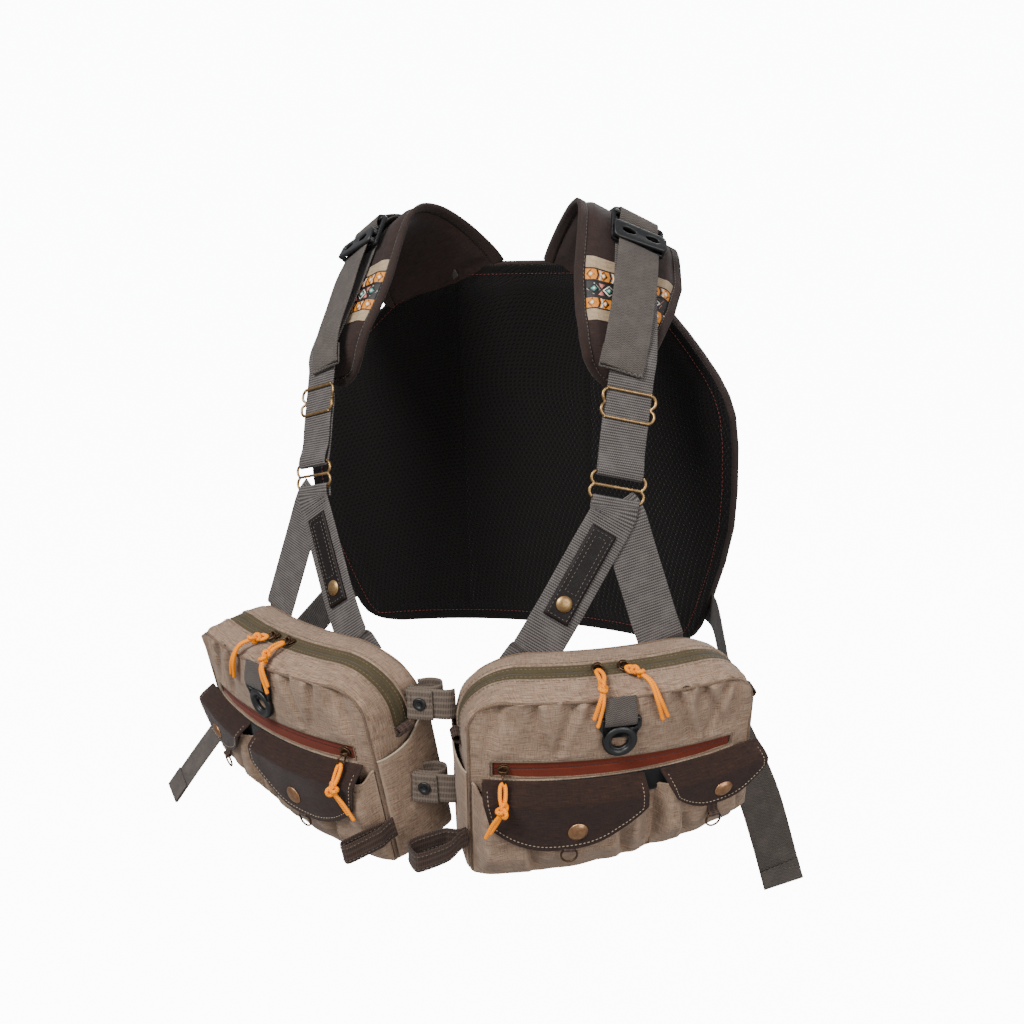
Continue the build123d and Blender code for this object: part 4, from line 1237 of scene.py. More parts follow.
def cord_pull(turn, knot, ends, crest=None):
    """Doubled cord from a ring at turn, through a knot, to two cut ends; crest lifts it over the cloth."""
    wire = 1.6
    turn, knot = np.array(turn, float), np.array(knot, float)
    middle = (turn + knot) / 2 if crest is None else np.array(crest, float)
    forward = unit(middle - turn)
    into = unit(knot - middle)
    side = unit(np.cross(forward, (0, -0.6, 0.8)))
    start = turn - forward * 1.2
    loop = [knot - into * 3 + side * 0.9, middle + side * 2.1, start + forward * 2.5 + side * 1.9, start,
            start + forward * 2.5 - side * 1.9, middle - side * 2.0, knot - into * 3 - side * 0.9]
    shapes = [tube(smooth_path(loop, 60), wire, 10), overhand_knot(knot, into, 4.7, wire * 1.05)]
    for k, end in enumerate(ends):
        path = [knot + into * 1.0, *[np.array(q, float) for q in end]]
        if len(end) == 1:
            path.insert(1, (knot + path[-1]) / 2 + side * (0.9 if k else -0.9))
        shapes.append(tube(smooth_path(path, 30), wire, 10))
    return join(*shapes)


def pulls(side):
    """Sliders of the two zips, with their rings and knotted cords."""
    for kind, sign in (("inner", -1), ("outer", 1)):
        s = 11.0 * sign
        base = np.array(arc(s, ZIP_MIDDLE, 159.6))
        angle = s / FRONT_RADIUS
        along = np.array((math.cos(angle) * -sign, math.sin(angle) * -sign, 0))
        make(f"main_slider_{kind}", side, BAG, slider(base, along, (0, 0, 1)), BRASS_DARK,
             f"main_slider_{kind}_{side}", [f"main_slider_{kind}_{side}"])
        centre = np.array(arc(s, -24.6, 163.8))
        turn = np.array(arc(s + sign, -20.6, 164.4))
        body = f"main_pull_{kind}_{side}"
        make(f"main_pull_{kind}_ring", side, BAG, ring_shape(centre, (0, -0.25, 1), 4.4, 0.75), BRASS_DARK,
             body)
        if kind == "inner":
            knot, crest = arc(s - 1.5, -2.0, 161.8), arc(s - 0.5, -12.0, 164.8)
            ends = [[arc(s - 5.0, 5.4, 155.0), arc(s - 9.5, 7.4, 141.0)],
                    [arc(s - 2.5, 5.6, 153.0), arc(s - 6.5, 7.6, 134.0)]]
        else:
            knot, crest = arc(s + 7.0, -13.5, 165.0), None
            ends = [[arc(s + 13.0, -1.0, 162.3), arc(s + 16.5, 6.0, 150.0), arc(s + 21.0, 7.2, 133.5)],
                    [arc(s + 14.5, -2.0, 162.1), arc(s + 19.0, 6.0, 150.5), arc(s + 25.0, 7.2, 135.5)]]
        make(f"main_pull_{kind}_cord", side, BAG, cord_pull(turn, knot, ends, crest), CORD, body,
             [f"main_pull_{kind}_{side}"])
    s = -87.0
    angle = s / FRONT_RADIUS
    out = np.array((math.sin(angle), -math.cos(angle), 0))
    along = np.array((-math.cos(angle), -math.sin(angle), 0))
    make("front_slider", side, BAG, slider(np.array(arc(s, -0.6, 93.0)), along, out), BRASS_DARK,
         f"front_slider_{side}", [f"front_slider_{side}"])
    body = f"front_pull_{side}"
    ring = ring_shape(arc(s, 7.6, 89.8), (1, 0, 0.2), 3.9, 0.75)
    make("front_pull_ring", side, BAG, ring, BRASS_DARK, body)
    ends = [[arc(s - 8.5, 23.5, 54.0)], [arc(s - 12.0, 23.0, 49.5)]]
    make("front_pull_cord", side, BAG, cord_pull(arc(s, 11.0, 86.5), arc(s + 0.5, 24.5, 74.5), ends),
         CORD, body, [body])


# ---------- rings, tabs and loops ----------

def folded_band(path, across, width, thickness=1.5):
    return webbing(smooth_path(path, max(24, 8 * len(path))), across, width, thickness)


def tool_ring(side):
    """Moulded ring: straight bar, two arms, side windows and a round eye."""
    def arc_points(cx, cy, r, first, last, count):
        return [(cx + r * math.cos(math.radians(t)), cy + r * math.sin(math.radians(t)))
                for t in np.linspace(first, last, count)]

    outer = arc_points(-13.2, -0.8, 3.4, 95, 175, 7) + [(-16.0, -6.5)]
    outer += arc_points(0, -18.0, 13.4, 158, 382, 40) + [(16.4, -6.5)]
    outer += arc_points(13.2, -0.8, 3.4, 5, 85, 7)
    slot_hole = [(-12.6, 0.4), (-12.9, -4.6), (-11.6, -6.6), (11.6, -6.6), (12.9, -4.6), (12.6, 0.4)]
    eye = arc_points(0, -18.0, 6.4, 0, 360, 30)[:-1]
    windows = []
    for sign in (-1, 1):
        windows.append([(sign * 12.3, -8.6), (sign * 7.6, -8.8), (sign * 9.6, -12.6), (sign * 11.6, -12.8)])
    verts, faces, _ = plate(outer, [slot_hole, eye, *windows], 4.2, 1.2)
    local = Frame((1, 0, 0), (0, 0, 1), (0, -1, 0), arc(0, 4.4, 136.0))
    shapes = [(local.world(verts), faces, None)]
    shapes.append(tube([arc(s, 4.4, 136.2) for s in (-14, -5, 5, 14)], 2.0, 10))
    rim = ring_shape(local.world([(0, -18.0, 0.6)])[0], (0, -1, 0), 10.6, 3.1, 40)
    shapes.append(rim)
    make("tool_ring", side, BAG, join(*shapes), PLASTIC, f"tool_ring_{side}", [f"tool_ring_{side}"])


def ring_tab(side):
    """Wide tape folded round the tool ring's bar, sewn under the top seam."""
    loop = ((-1.2, 154.6), (-3.2, 150), (-6.6, 142), (-7.7, 137), (-6.8, 133.4), (-4.4, 132.2), (-1.8, 133.6),
            (-0.9, 138), (-0.8, 150))
    tab = folded_band([(0, y, z) for y, z in loop], (1, 0, 0), 25.0)
    make("ring_tab", side, BAG, tab, WEBBING_FINE, f"front_{side}", [f"ring_tapes_{side}"])
    rows = [[(x, y, z) for x in np.linspace(-10.5, 10.5, 12)] for y, z in ((-5.0, 147.6), (-5.9, 145.0))]
    make("ring_tab_stitching", side, BAG, join(*[dashes(r, 2.0, 1.2, 0.26) for r in rows]), THREAD_DARK,
         f"front_{side}")


def small_rings(side):
    """Split rings under the two pockets, each on a folded tab."""
    for kind, spec in POCKETS.items():
        s, top = spec["ring"]
        centre = arc(s, 17.9, top - 6.2)
        angle = s / FRONT_RADIUS
        out = (math.sin(angle), -math.cos(angle), 0)
        make(f"small_ring_{kind}", side, BAG_PIVOTS, ring_shape(centre, out, 6.3, 0.85), BRASS_DARK,
             f"small_ring_{kind}_{side}", [f"small_ring_{kind}_{side}"])
        loop = ((14.4, 22), (15.0, 6), (16.4, 1.4), (19.0, 0.9), (19.4, -1.5), (17.6, -2.1), (15.8, 0),
                (14.4, 19))
        path = [arc(s, n, top + rise) for n, rise in loop]
        tab = folded_band(path, (math.cos(angle), math.sin(angle), 0), 8.6, 0.9)
        make(f"small_tab_{kind}", side, BAG_PIVOTS, tab, WEBBING_BROWN, f"front_{side}")


def side_pocket(side):
    """Flat pocket over the whole inner side wall; its elastic edge climbs to the rear seam."""
    grid = []
    for v in np.linspace(0, 1, 50):
        row = []
        for t in np.linspace(0, 1, 48):
            n = -1.0 - 56.0 * t
            width = outline_size(n)[0]
            top = 88.0 + 25.0 * t - 7.0 * math.sin(math.pi * t)
            z = 3.0 + (top - 3.0) * v
            bulge = 0.5 + math.sin(math.pi * t) ** 0.6 * (1.6 + 1.8 * v + 0.9 * wobble((3, n, z), 14.0, 2.2))
            bulge *= min(1.0, 0.1 + v * 9)
            point = to_bag(np.array(-width), n, np.array(z))
            row.append((point[0] - bulge, point[1], z))
        grid.append(row)
    grid = np.array(grid)
    make("side_pocket", side, BAG, sheet(grid, 1.2), BAG_CLOTH, f"front_{side}")
    edge = tube(grid[-1], 0.95, 8)
    make("side_pocket_elastic", side, BAG, edge, THREAD_PALE, f"front_{side}")


def end_tab(side):
    """Folded tabs over the two ends of the main zip."""
    outer = ((113, 112), (117, 116.5), (123.5, 118), (125.5, 115.0), (123, 111.5), (117, 109), (113.5, 105))
    inner = ((-113, 104), (-117.5, 106), (-121, 103.5), (-119, 100), (-114.5, 98))
    for name, places, width in (("zip_end_tab", outer, 14.0), ("zip_end_tab_inner", inner, 13.0)):
        tab = folded_band([(x, 46, z) for x, z in places], (0, 1, 0), width, 1.6)
        make(name, side, BAG, tab, WEBBING_BROWN, f"front_{side}")


def rod_loop(side):
    """Flat loop of brown webbing by the bottom of the inner side wall; the right one is pressed shut."""
    heading = {"left": 16.0, "right": 100.0}[side]
    turn = math.radians(heading)
    local = Frame((math.cos(turn), math.sin(turn), 0), (-math.sin(turn), math.cos(turn), 0), (0, 0, 1),
                  (-118.5, 12.0, 35.0))
    wide = 1.0 if side == "left" else 0.36
    corners = [(4.0, 0.9), (-2.0, 1.6), (-8.0, 6.5), (-13.0, 9.3), (-34.0, 9.6), (-41.5, 7.6), (-43.2, 3.0),
               (-42.6, -6.4), (-38.5, -9.2), (-20.0, -8.6), (-12.0, -6.6), (-3.0, -1.7), (4.0, -0.9)]
    path = local.world(smooth_path([(x, y * wide, 0.5 * math.sin(x / 9)) for x, y in corners], 100))
    make("rod_loop", side, BAG, webbing(path, (0, 0, 1), 16.5, 1.5), WEBBING_BROWN, f"rod_loop_{side}",
         [f"rod_loop_{side}"])
    _, _, out = frames_along(path, (0, 0, 1))
    rows = []
    for height in (-5.4, 5.4):
        for shift in (1.0, -1.0):
            rows.append(dashes(path[3:-3] + out[3:-3] * shift + np.array((0, 0, height)), 2.2, 1.2, 0.26))
    make("rod_loop_stitching", side, BAG, join(*rows), THREAD_GREY, f"rod_loop_{side}")


# ---------- shoulder straps ----------

PAD_PATH = [(24, 8), (32, 45), (72, 92), (96, 120), (110, 133), (126, 139), (142, 135), (155, 122),
            (166, 103), (176, 84)]
PAD_REAR_SLANT = 0.72
STRAP_TOP = np.array((88.3, 123.3))
STRAP_RUN = math.atan2(97.0 - 18.4, 133.0 - 45.0)


def lock_point(x, y, z):
    """Point of the lock frame in the strap frame."""
    c, s = math.cos(STRAP_RUN), math.sin(STRAP_RUN)
    return (x, STRAP_TOP[0] + y * c + z * s, STRAP_TOP[1] - y * s + z * c)


class Pad:
    """Curved shoulder pad: x across it, v along it from its front tip, out of its face."""

    def __init__(self):
        path = smooth_path([(y, z) for y, z in PAD_PATH], 160)
        steps = np.linalg.norm(np.diff(path, axis=0), axis=1)
        self.length = steps.sum()
        self.at = np.concatenate([[0], steps.cumsum()])
        self.path = path
        tangent = np.gradient(path, axis=0)
        tangent /= np.linalg.norm(tangent, axis=1, keepdims=True)
        self.normal = np.stack([-tangent[:, 1], tangent[:, 0]], 1)

    def edges(self, v):
        left = np.interp(v, (0, 4, 10, 20, 34, 60, 95, 400), (-11, -21, -29, -37, -42.5, -47.5, -50.5, -50.5))
        right = np.interp(v, (0, 4, 10, 22, 45, 80, 115, 400), (-3, 5, 10, 16, 24, 37, 45.5, 46.5))
        return left, right

    def point(self, x, v, out):
        y = np.interp(v, self.at, self.path[:, 0])
        z = np.interp(v, self.at, self.path[:, 1])
        ny = np.interp(v, self.at, self.normal[:, 0])
        nz = np.interp(v, self.at, self.normal[:, 1])
        slant = PAD_REAR_SLANT * x * ease((v - 165.0) / (self.length - 165.0))
        return np.array((x, y + ny * out - slant, z + nz * out))

    def thickness(self, x, v):
        """Half thickness: padded in the middle, pinched at the bound edge."""
        left, right = self.edges(v)
        edge = min(x - left, right - x, (v + 3) * 0.9, (self.length - v) * 0.8 + 1)
        base = 1.5 + 3.9 * ease((edge - 6.5) / 9.0) ** 0.8
        return base + 0.35 * wobble((x, v * 0.7, 2), 15.0, 3.3) * ease((edge - 8) / 10)

    def face(self, x, v, lift):
        return self.point(x, v, self.thickness(x, v) + lift)


PAD = Pad()


def pad_surfaces():
    """Padded body of the shoulder pad, closed round its edge."""
    lines = np.concatenate([np.linspace(0, 20, 16)[:-1], np.linspace(20, PAD.length, 120)])
    columns = np.linspace(0, 1, 61)
    top, bottom, uv = [], [], []
    for v in lines:
        left, right = PAD.edges(v)
        xs = left + (right - left) * columns
        top.append([PAD.face(x, v, 0.0) for x in xs])
        bottom.append([PAD.point(x, v, -PAD.thickness(x, v)) for x in xs])
        uv.append([(x, v) for x in xs])
    return two_faced(np.array(top), np.array(bottom), uv)


def pad_rim(inset, lift):
    """Path round the pad's face, inset from its edge."""
    left = [(PAD.edges(v)[0] + inset, v) for v in np.linspace(PAD.length - inset, 3 + inset, 90)]
    tip_l, tip_r = PAD.edges(3 + inset)
    tip_l += inset
    xs = np.linspace(tip_l, max(tip_r - inset, tip_l + 1), 10)
    tip = [(x, max(0.4, inset * 0.9) + 0.02 * (x + 7) ** 2) for x in xs]
    right = [(PAD.edges(v)[1] - inset, v) for v in np.linspace(3 + inset, PAD.length - inset, 90)]
    return np.array([PAD.face(x, v, lift) for x, v in left + tip + right])


def pad_binding():
    """Tape folded over the pad's edge: a strip on each face joined round the rim."""
    lines = [(0, v) for v in np.linspace(PAD.length, 2.5, 110)]
    tip = [(2, t) for t in np.linspace(0, 1, 14)[1:-1]]
    lines += tip + [(1, v) for v in np.linspace(2.5, PAD.length, 110)]
    across = [(7.2, 1), (5.0, 1), (2.4, 1), (0.4, 1), (-1.0, 0), (0.4, -1), (2.4, -1), (5.0, -1), (7.2, -1)]
    grid = []
    for kind, value in lines:
        row = []
        for inset, face in across:
            if kind == 2:
                left, right = PAD.edges(2.5)
                room = right - left - 2 * inset
                x = left + inset + room * value if room > 0 else (left + right) / 2
                v = 2.5 + inset * 0.9 - 3.0 * math.sin(math.pi * value)
            else:
                v = max(value, 2.5 + inset * 0.6)
                left, right = PAD.edges(v)
                x = left + inset if kind == 0 else right - inset
            thick = PAD.thickness(x, v)
            row.append(PAD.point(x, v, face * (max(thick, 1.6) + 0.55)))
        grid.append(row)
    return sheet(grid, 0.9)


def pad_patch(corners, lift=0.5):
    """Small woven figure on the pad's face, slightly raised."""
    height = 0.35
    count = len(corners)
    top = [PAD.face(x, v, lift + height) for x, v in corners]
    low = [PAD.face(x, v, lift - 0.4) for x, v in corners]
    centre = np.mean(top, axis=0)
    verts = np.array(top + low + [centre])
    faces = [(i, (i + 1) % count, 2 * count) for i in range(count)]
    faces += [((i + 1) % count, i, count + i, count + (i + 1) % count) for i in range(count)]
    faces.append(tuple(range(2 * count - 1, count - 1, -1)))
    area = sum(a[0] * b[1] - b[0] * a[1] for a, b in zip(corners, corners[1:] + corners[:1]))
    if area < 0:
        faces = [tuple(reversed(f)) for f in faces]
    return verts, faces, None


def strip_of_band(low, high, lift):
    """Full-width strip of the woven band across the pad."""
    grid = []
    for v in np.linspace(low, high, 14):
        left, right = PAD.edges(v)
        grid.append([PAD.face(x, v, lift) for x in np.linspace(left + 7.8, right - 7.8, 50)])
    return sheet(grid, 0.5)


BAND_LOW, BAND_HIGH = 52.0, 112.0


def jacquard(side):
    """Woven band of plain geometric figures: beige ends, gold rows, a dark row of stepped diamonds."""
    marks = [BAND_LOW, BAND_LOW + 11, BAND_LOW + 22, BAND_HIGH - 22, BAND_HIGH - 11, BAND_HIGH]
    groups = {"beige": [], "gold": [], "ink": [], "white": [], "teal": [], "rose": []}
    groups["beige"] += [strip_of_band(marks[0], marks[1], 0.55), strip_of_band(marks[4], marks[5], 0.55)]
    groups["gold"] += [strip_of_band(marks[1], marks[2], 0.5), strip_of_band(marks[3], marks[4], 0.5)]
    groups["ink"].append(strip_of_band(marks[2], marks[3], 0.5))
    groups["ink"] += [strip_of_band(mark - 0.7, mark + 0.7, 0.75) for mark in marks[1:5]]
    for low, high in ((marks[1], marks[2]), (marks[3], marks[4])):
        middle, tall = (low + high) / 2, (high - low) / 2 - 0.9
        left, right = PAD.edges(middle)
        x = left + 12.0
        while x < right - 11.0:
            diamond = [(x - 3.4, middle), (x, middle - tall), (x + 3.4, middle), (x, middle + tall)]
            groups["ink"].append(pad_patch(diamond))
            core = [(x - 1.5, middle), (x, middle - 2.0), (x + 1.5, middle), (x, middle + 2.0)]
            groups["white"].append(pad_patch(core, 0.9))
            rim = [(x - 2.5, middle), (x, middle - tall + 1.4), (x + 2.5, middle), (x, middle + tall - 1.4)]
            groups["gold"].append(pad_patch(rim, 0.7))
            for k in (0, 1):
                cx = x + 5.4 + k * 2.6
                chevron = [(cx - 1.0, middle - tall), (cx + 0.6, middle - tall), (cx + 1.9, middle),
                           (cx + 0.6, middle + tall), (cx - 1.0, middle + tall), (cx + 0.3, middle)]
                groups["ink" if k == 0 else "white"].append(pad_patch(chevron))
            x += 11.2
    middle = (marks[2] + marks[3]) / 2
    left, right = PAD.edges(middle)
    x = left + 14.0
    diamonds = ((5.6, "white", 0.5), (4.2, "ink", 0.8), (2.8, "teal", 1.0), (1.3, "white", 1.25))
    while x < right - 11.0:
        for half, name, lift in diamonds:
            diamond = [(x - half, middle), (x, middle - half), (x + half, middle), (x, middle + half)]
            groups[name].append(pad_patch(diamond, lift))
        for sign in (-1, 1):
            far = middle + sign * 5.6
            wedge = [(x + 6.6, middle + sign * 0.9), (x + 9.4, far), (x + 3.9, far)]
            groups["rose"].append(pad_patch(wedge))
        x += 13.2
    mats = {"beige": BAND_BEIGE, "gold": THREAD_GOLD, "ink": THREAD_INK, "white": THREAD_WHITE,
            "teal": THREAD_TEAL, "rose": THREAD_ROSE}
    for name, shapes in groups.items():
        make(f"pad_band_{name}", side, STRAP, join(*shapes), mats[name], "harness")


def shoulder_pad(side):
    make("shoulder_pad", side, STRAP, pad_surfaces(), PAD_CLOTH, "harness", [f"shoulder_pad_{side}"])
    make("shoulder_pad_binding", side, STRAP, pad_binding(), BINDING, "harness")
    make("shoulder_pad_stitching", side, STRAP, dashes(pad_rim(6.3, 0.95), 2.4, 1.2, 0.28), THREAD_GREY,
         "harness")
    jacquard(side)


def strap_point(world_point):
    return (np.array(world_point) - STRAP.origin) @ STRAP.axes


GLIDE_BAR_TOP = 10.6
TAIL_ACROSS = (1.0, 0.02, -0.12)


def load_strap(side):
    """Strap from the link glide through the adjusting glide and the lock, with its free tail."""
    low = strap_point(LINK.world((0, GLIDE_BAR_TOP, 0)))
    x0 = low[0]
    run = unit(np.array((0.0, 18.4, 45.0)))
    front = np.cross(run, (1, 0, 0))
    front = front if front[1] < 0 else -front
    path = [low + front * 2.1 - run * 1.2, low + front * 1.9 + run * 5, (x0 * 0.6, -14.0, -36.0),
            (0, -8.2, -20.0), (0, 0, 0), (0, 10, 24.5), (0, 18.4, 45.0), (0, 57.7, 89.0)]
    over_bar = ((0, -8), (0, 0), (-0.8, 3.0), (-3.8, 4.6), (-6.8, 3.0), (-7.8, 0))
    path += [lock_point(0, y, z) for y, z in over_bar]
    tail = [lock_point(0, -8.0, -6), lock_point(-1.4, -8.4, -30), (-3.6, 44.0, 84.0), (-7.4, 20.0, 55.0),
            (-9.6, 9.5, 36.0), (-10.6, 6.5, 27.0)]
    cloth = band(path, 170, (1, 0, 0), WEBBING_WIDTH)
    strap = make("load_strap", side, STRAP, cloth, WEBBING, None, [f"load_strap_{side}"])
    back = [low + front * 2.1 - run * 1.2, low + front * 0.6 - run * 2.6, low - front * 1.4 - run * 2.3,
            low - front * 2.2 + run * 1.0, (x0 * 0.6, -11.2, -36.0), (0, -5.4, -20.0), (0, 1.4, -4.0),
            (0, 3.4, 3.0)]
    cloth = band(back, 60, (1, 0, 0), 37.6)
    turn = make("load_strap_turn", side, STRAP, cloth, WEBBING, None)
    start = mirrored(STRAP.world((0, -11.0, -27.0)), side)
    end = mirrored(STRAP.world(low - run * 1.0), side)
    for piece in (strap, turn):
        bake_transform(piece)
    cloth = band(tail, 90, TAIL_ACROSS, WEBBING_WIDTH)
    make("load_strap_tail", side, STRAP, cloth, WEBBING_FINE, "harness")
    fold = [(-10.6, 6.6, 26.8), (-10.6, 6.3, 25.6), (-10.6, 8.2, 25.4), (-10.4, 9.2, 28.0),
            (-9.2, 14.5, 42.0)]
    cloth = band(fold, 30, TAIL_ACROSS, 37.4, 1.4)
    make("load_strap_tail_hem", side, STRAP, cloth, WEBBING_FINE, "harness")


GLIDE_WIRE = 1.25


def wire_glide(width, height):
    """Closed wire path of two rounded loops that neck in at the middle, and the reach of its bar."""
    half, bend = width / 2 - GLIDE_WIRE, (height / 2 - GLIDE_WIRE) / 2
    quarter = [(half - bend + bend * math.cos(math.radians(t)), bend + bend * math.sin(math.radians(t)))
               for t in np.linspace(90, -58, 15)]
    path = quarter + [(x, -y) for x, y in reversed(quarter)]
    path += [(-x, -y) for x, y in quarter] + [(-x, y) for x, y in reversed(quarter)]
    return [(x, y, 0) for x, y in path], quarter[-1][0]


def closed_smooth(path, count):
    """Smooth closed curve through points, sampled evenly from the first one."""
    wrapped = list(path[-3:]) + list(path) + list(path[:3])
    fine = smooth_path(wrapped, count * 2)
    a = np.argmin(np.linalg.norm(fine - np.array(path[0]), axis=1)[: count])
    later = np.linalg.norm(fine - np.array(path[0]), axis=1)[count:]
    b = count + int(np.argmin(later))
    return resample(fine[a: b + 1], count + 1)[:-1]


def glides(side):
    """Adjusting glide on the shoulder strap and link glide at the point of the V strap."""
    tilt = math.radians(22.2)
    path, reach = wire_glide(47.0, 26.0)
    sine, cosine = math.sin(tilt), math.cos(tilt)
    local = Frame((1, 0, 0), (0, sine, cosine), (0, -cosine, sine), (0, 0, 0))
    lifted = [(x, y, 2.0 * ease(abs(y) / 4)) for x, y, _ in path]
    shapes = [sweep(closed_smooth(lifted, 110), circle(GLIDE_WIRE, 12), closed=True)]
    bar = [(-reach, 0, 0), (-reach + 2.5, 0, -1.7), (reach - 2.5, 0, -1.7), (reach, 0, 0)]
    shapes.append(tube(bar, GLIDE_WIRE, 10))
    make("adjust_glide", side, STRAP, placed(join(*shapes), local), BRASS, f"adjust_glide_{side}",
         [f"adjust_glide_{side}"])
    path, reach = wire_glide(47.0, 24.0)
    shapes = [sweep(closed_smooth(path, 110), circle(1.2, 12), closed=True)]
    shapes.append(tube([(-reach, 0, 0), (0, 0, 0), (reach, 0, 0)], 1.2, 10))
    make("link_glide", side, LINK, join(*shapes), BRASS, f"front_{side}", [f"link_glide_{side}"])


def shoulder_lock(side):
    """Ladder lock: framed slots, and a bridge with two eye-shaped windows over the strap."""
    def rounded(half, low, high, r):
        corners = ((half - r, high - r, 0), (-half + r, high - r, 90), (-half + r, low + r, 180),
                   (half - r, low + r, 270))
        points = []
        for x, z, start in corners:
            angles = [math.radians(start + step) for step in (0, 22, 45, 68, 90)]
            points += [(x + r * math.cos(a), z + r * math.sin(a)) for a in angles]
        return points

    def in_lock(shape, y):
        verts, faces, _ = shape
        return np.array([lock_point(x, y + z, w) for x, w, z in verts]), faces, None

    def eye_hole(cx):
        lean = 0.3 if cx > 0 else -0.3
        angles = np.linspace(0, 2 * math.pi, 18, endpoint=False)
        return [(cx + 6.2 * math.cos(t), 2.6 + 2.6 * math.sin(t) * (1 + lean * math.cos(t))) for t in angles]

    slots = [rounded(20.6, 14.4, 21.6, 1.2), rounded(20.6, -0.4, 9.4, 1.2)]
    base = plate(rounded(24.5, -5.0, 27.0, 3.5), slots, 4.2, 0.9)
    cover = plate(rounded(24.0, -6.4, 10.4, 4.5), [eye_hole(-10.4), eye_hole(10.4)], 3.4, 1.1)
    shapes = [in_lock(base, -3.8), in_lock(cover, -11.4)]
    for sign in (-1, 1):
        for z in (-2.0, 6.5):
            pillar = [lock_point(sign * 21.8, y, z) for y in (-3, -6.5, -10.6)]
            shapes.append(tube(pillar, 2.4, 10))
    for z in (12.6, 23.4):
        shapes.append(tube([lock_point(x, -6.2, z) for x in (-21.5, -7, 7, 21.5)], 1.5, 8))
    first = side == "left"
    make("shoulder_lock", side, STRAP, join(*shapes), PLASTIC, "harness", ["shoulder_locks"] if first else ())
    fold = [(-0.2, 27.0), (-0.4, 18.5), (-3.8, 15.6), (-7.6, 17.8), (-8.8, 23.0), (-7.8, 27.5), (-3.5, 30.5)]
    fold = [lock_point(0, y, z) for y, z in fold]
    crest = ((117.0, 148.6), (128.0, 147.6), (145.6, 142.4), (161.2, 127.6), (173.2, 107.0), (181.5, 87.0))
    cloth = band(fold + [(0, y, z) for y, z in crest], 130, (1, 0, 0), 36.0)
    make("pad_webbing", side, STRAP, cloth, WEBBING_FINE, "harness", ["pad_webbing"] if first else ())
    back = [lock_point(0, -0.2, 26.6), (0, 117.0, 146.6), (0, 128.0, 145.8), (0, 144.8, 140.8),
            (0, 160.0, 126.4)]
    cloth = band(back, 50, (1, 0, 0), 36.0)
    make("pad_webbing_return", side, STRAP, cloth, WEBBING_FINE, "harness")


# ---------- V strap ----------

def in_vee(point):
    return (np.array(point) - VEE.origin) @ VEE.axes


def v_strap(side):
    """Two legs from the bag's rear seam; the inner one turns round the link glide's lower bar."""
    apex = np.array((24.6, 109.0))
    bend = ((-8.0, -2.6), (-2.0, -2.4), (0.0, -2.05), (1.5, -1.4), (2.05, 0), (1.5, 1.4), (0.0, 2.05),
            (-2.2, 1.9))
    turn = [in_vee(LINK.world((0, y - 10.8, z))) for y, z in bend]
    level = VEE.axes.T @ LINK.axes[:, 0]
    for kind, foot_x, layer in (("outer", 50.0, -1.6), ("inner", -50.0, 0.4)):
        along = unit(np.array((foot_x, 0.0)) - apex)
        slope = along[0] / along[1]
        sewn = [in_vee(BAG.world((foot_x - slope * drop, y, z)))
                for drop, y, z in ((1, 62.4, 161.5), (8, 64.4, 155), (20, 64.6, 143))]
        head = turn if kind == "inner" else [in_vee(LINK.world((0, -14.0, -1.3)))]
        leg = ((12, 0.8), (40, 0.6), (75, 0.4), (96, 0.2))
        path = head + [(*(apex + along * k), layer + lift) for k, lift in leg]
        path = smooth_path(path + sewn, 130)
        across = np.array((-along[1], along[0], 0))
        reach = np.linalg.norm(path[:, :2] - turn[-1][:2], axis=1)
        weights = np.where(path[:, 1] > turn[-1][1], 0, ease((reach - 1) / 26))[:, None]
        ways = level * (1 - weights) + across * weights
        make(f"v_strap_{kind}", side, VEE, webbing(path, ways, WEBBING_WIDTH), WEBBING, f"front_{side}",
             [f"v_strap_{side}"] if kind == "outer" else ())
        if kind == "inner":
            flat = across[:2]
            marks = [dashes([(*(apex + along * k + flat * t), layer + 1.75) for t in np.linspace(-16, 16, 9)])
                     for k in (13, 17)]
            make("v_strap_stitching", side, VEE, join(*marks), THREAD_DARK, f"front_{side}")
    along = unit(np.array((-50.0, 0.0)) - apex)
    across = np.array((-along[1], along[0]))
    across = across if across[0] > 0 else -across

    def on_leg(x, y, z):
        point = apex + along * (24.0 + y) + across * x
        return (point[0], point[1], z)

    def line_round(half, reach, span, count, ends):
        """Rectangle of points on the leather: up the left edge, across, down the right edge and back."""
        low, high = span
        rise, run = np.linspace(low, high, count), np.linspace(-reach, reach, ends)
        around = [(-half, y) for y in rise] + [(x, high) for x in run]
        around += [(half, y) for y in rise[::-1]] + [(x, low) for x in run[::-1]]
        return [on_leg(x, y, 3.75) for x, y in around]

    grid = [[on_leg(x, y, 2.5 + 0.3 * wobble((x, y, 1), 12.0, 1.1)) for x in np.linspace(-10.8, 10.8, 15)]
            for y in np.linspace(0, 80, 50)]
    body = f"leather_tab_{side}"
    make("leather_strip", side, VEE, sheet(grid, 2.2), LEATHER, body, [body])
    edge = line_round(8.4, 8.0, (3, 77), 30, 6)
    box = line_round(4.8, 4.8, (7, 56), 20, 5)
    stitches = join(*[dashes(line, 2.0, 1.6, 0.27, closed=True) for line in (edge, box)])
    make("leather_strip_stitching", side, VEE, stitches, THREAD_GREY, body)
    make("leather_strip_snap", side, VEE, snap_cap(on_leg(0, 66, 3.3), (0, 0, 1), 6.6, 2.6), BRASS, body)


# ---------- belt ----------

BELT_TAILS = {
    "left": (((217.0, -14, 62), (229, -12, 35), (243, -10.5, 0), (254, -6.5, -40), (266, -4, -87.5)),
             (0.86, 0.5, 0)),
    "right": (((225.0, -15, 80), (250, -25, 52), (273, -38, 21), (294, -55, -10), (312, -69, -38)),
              (0.7, 0.71, 0)),
}


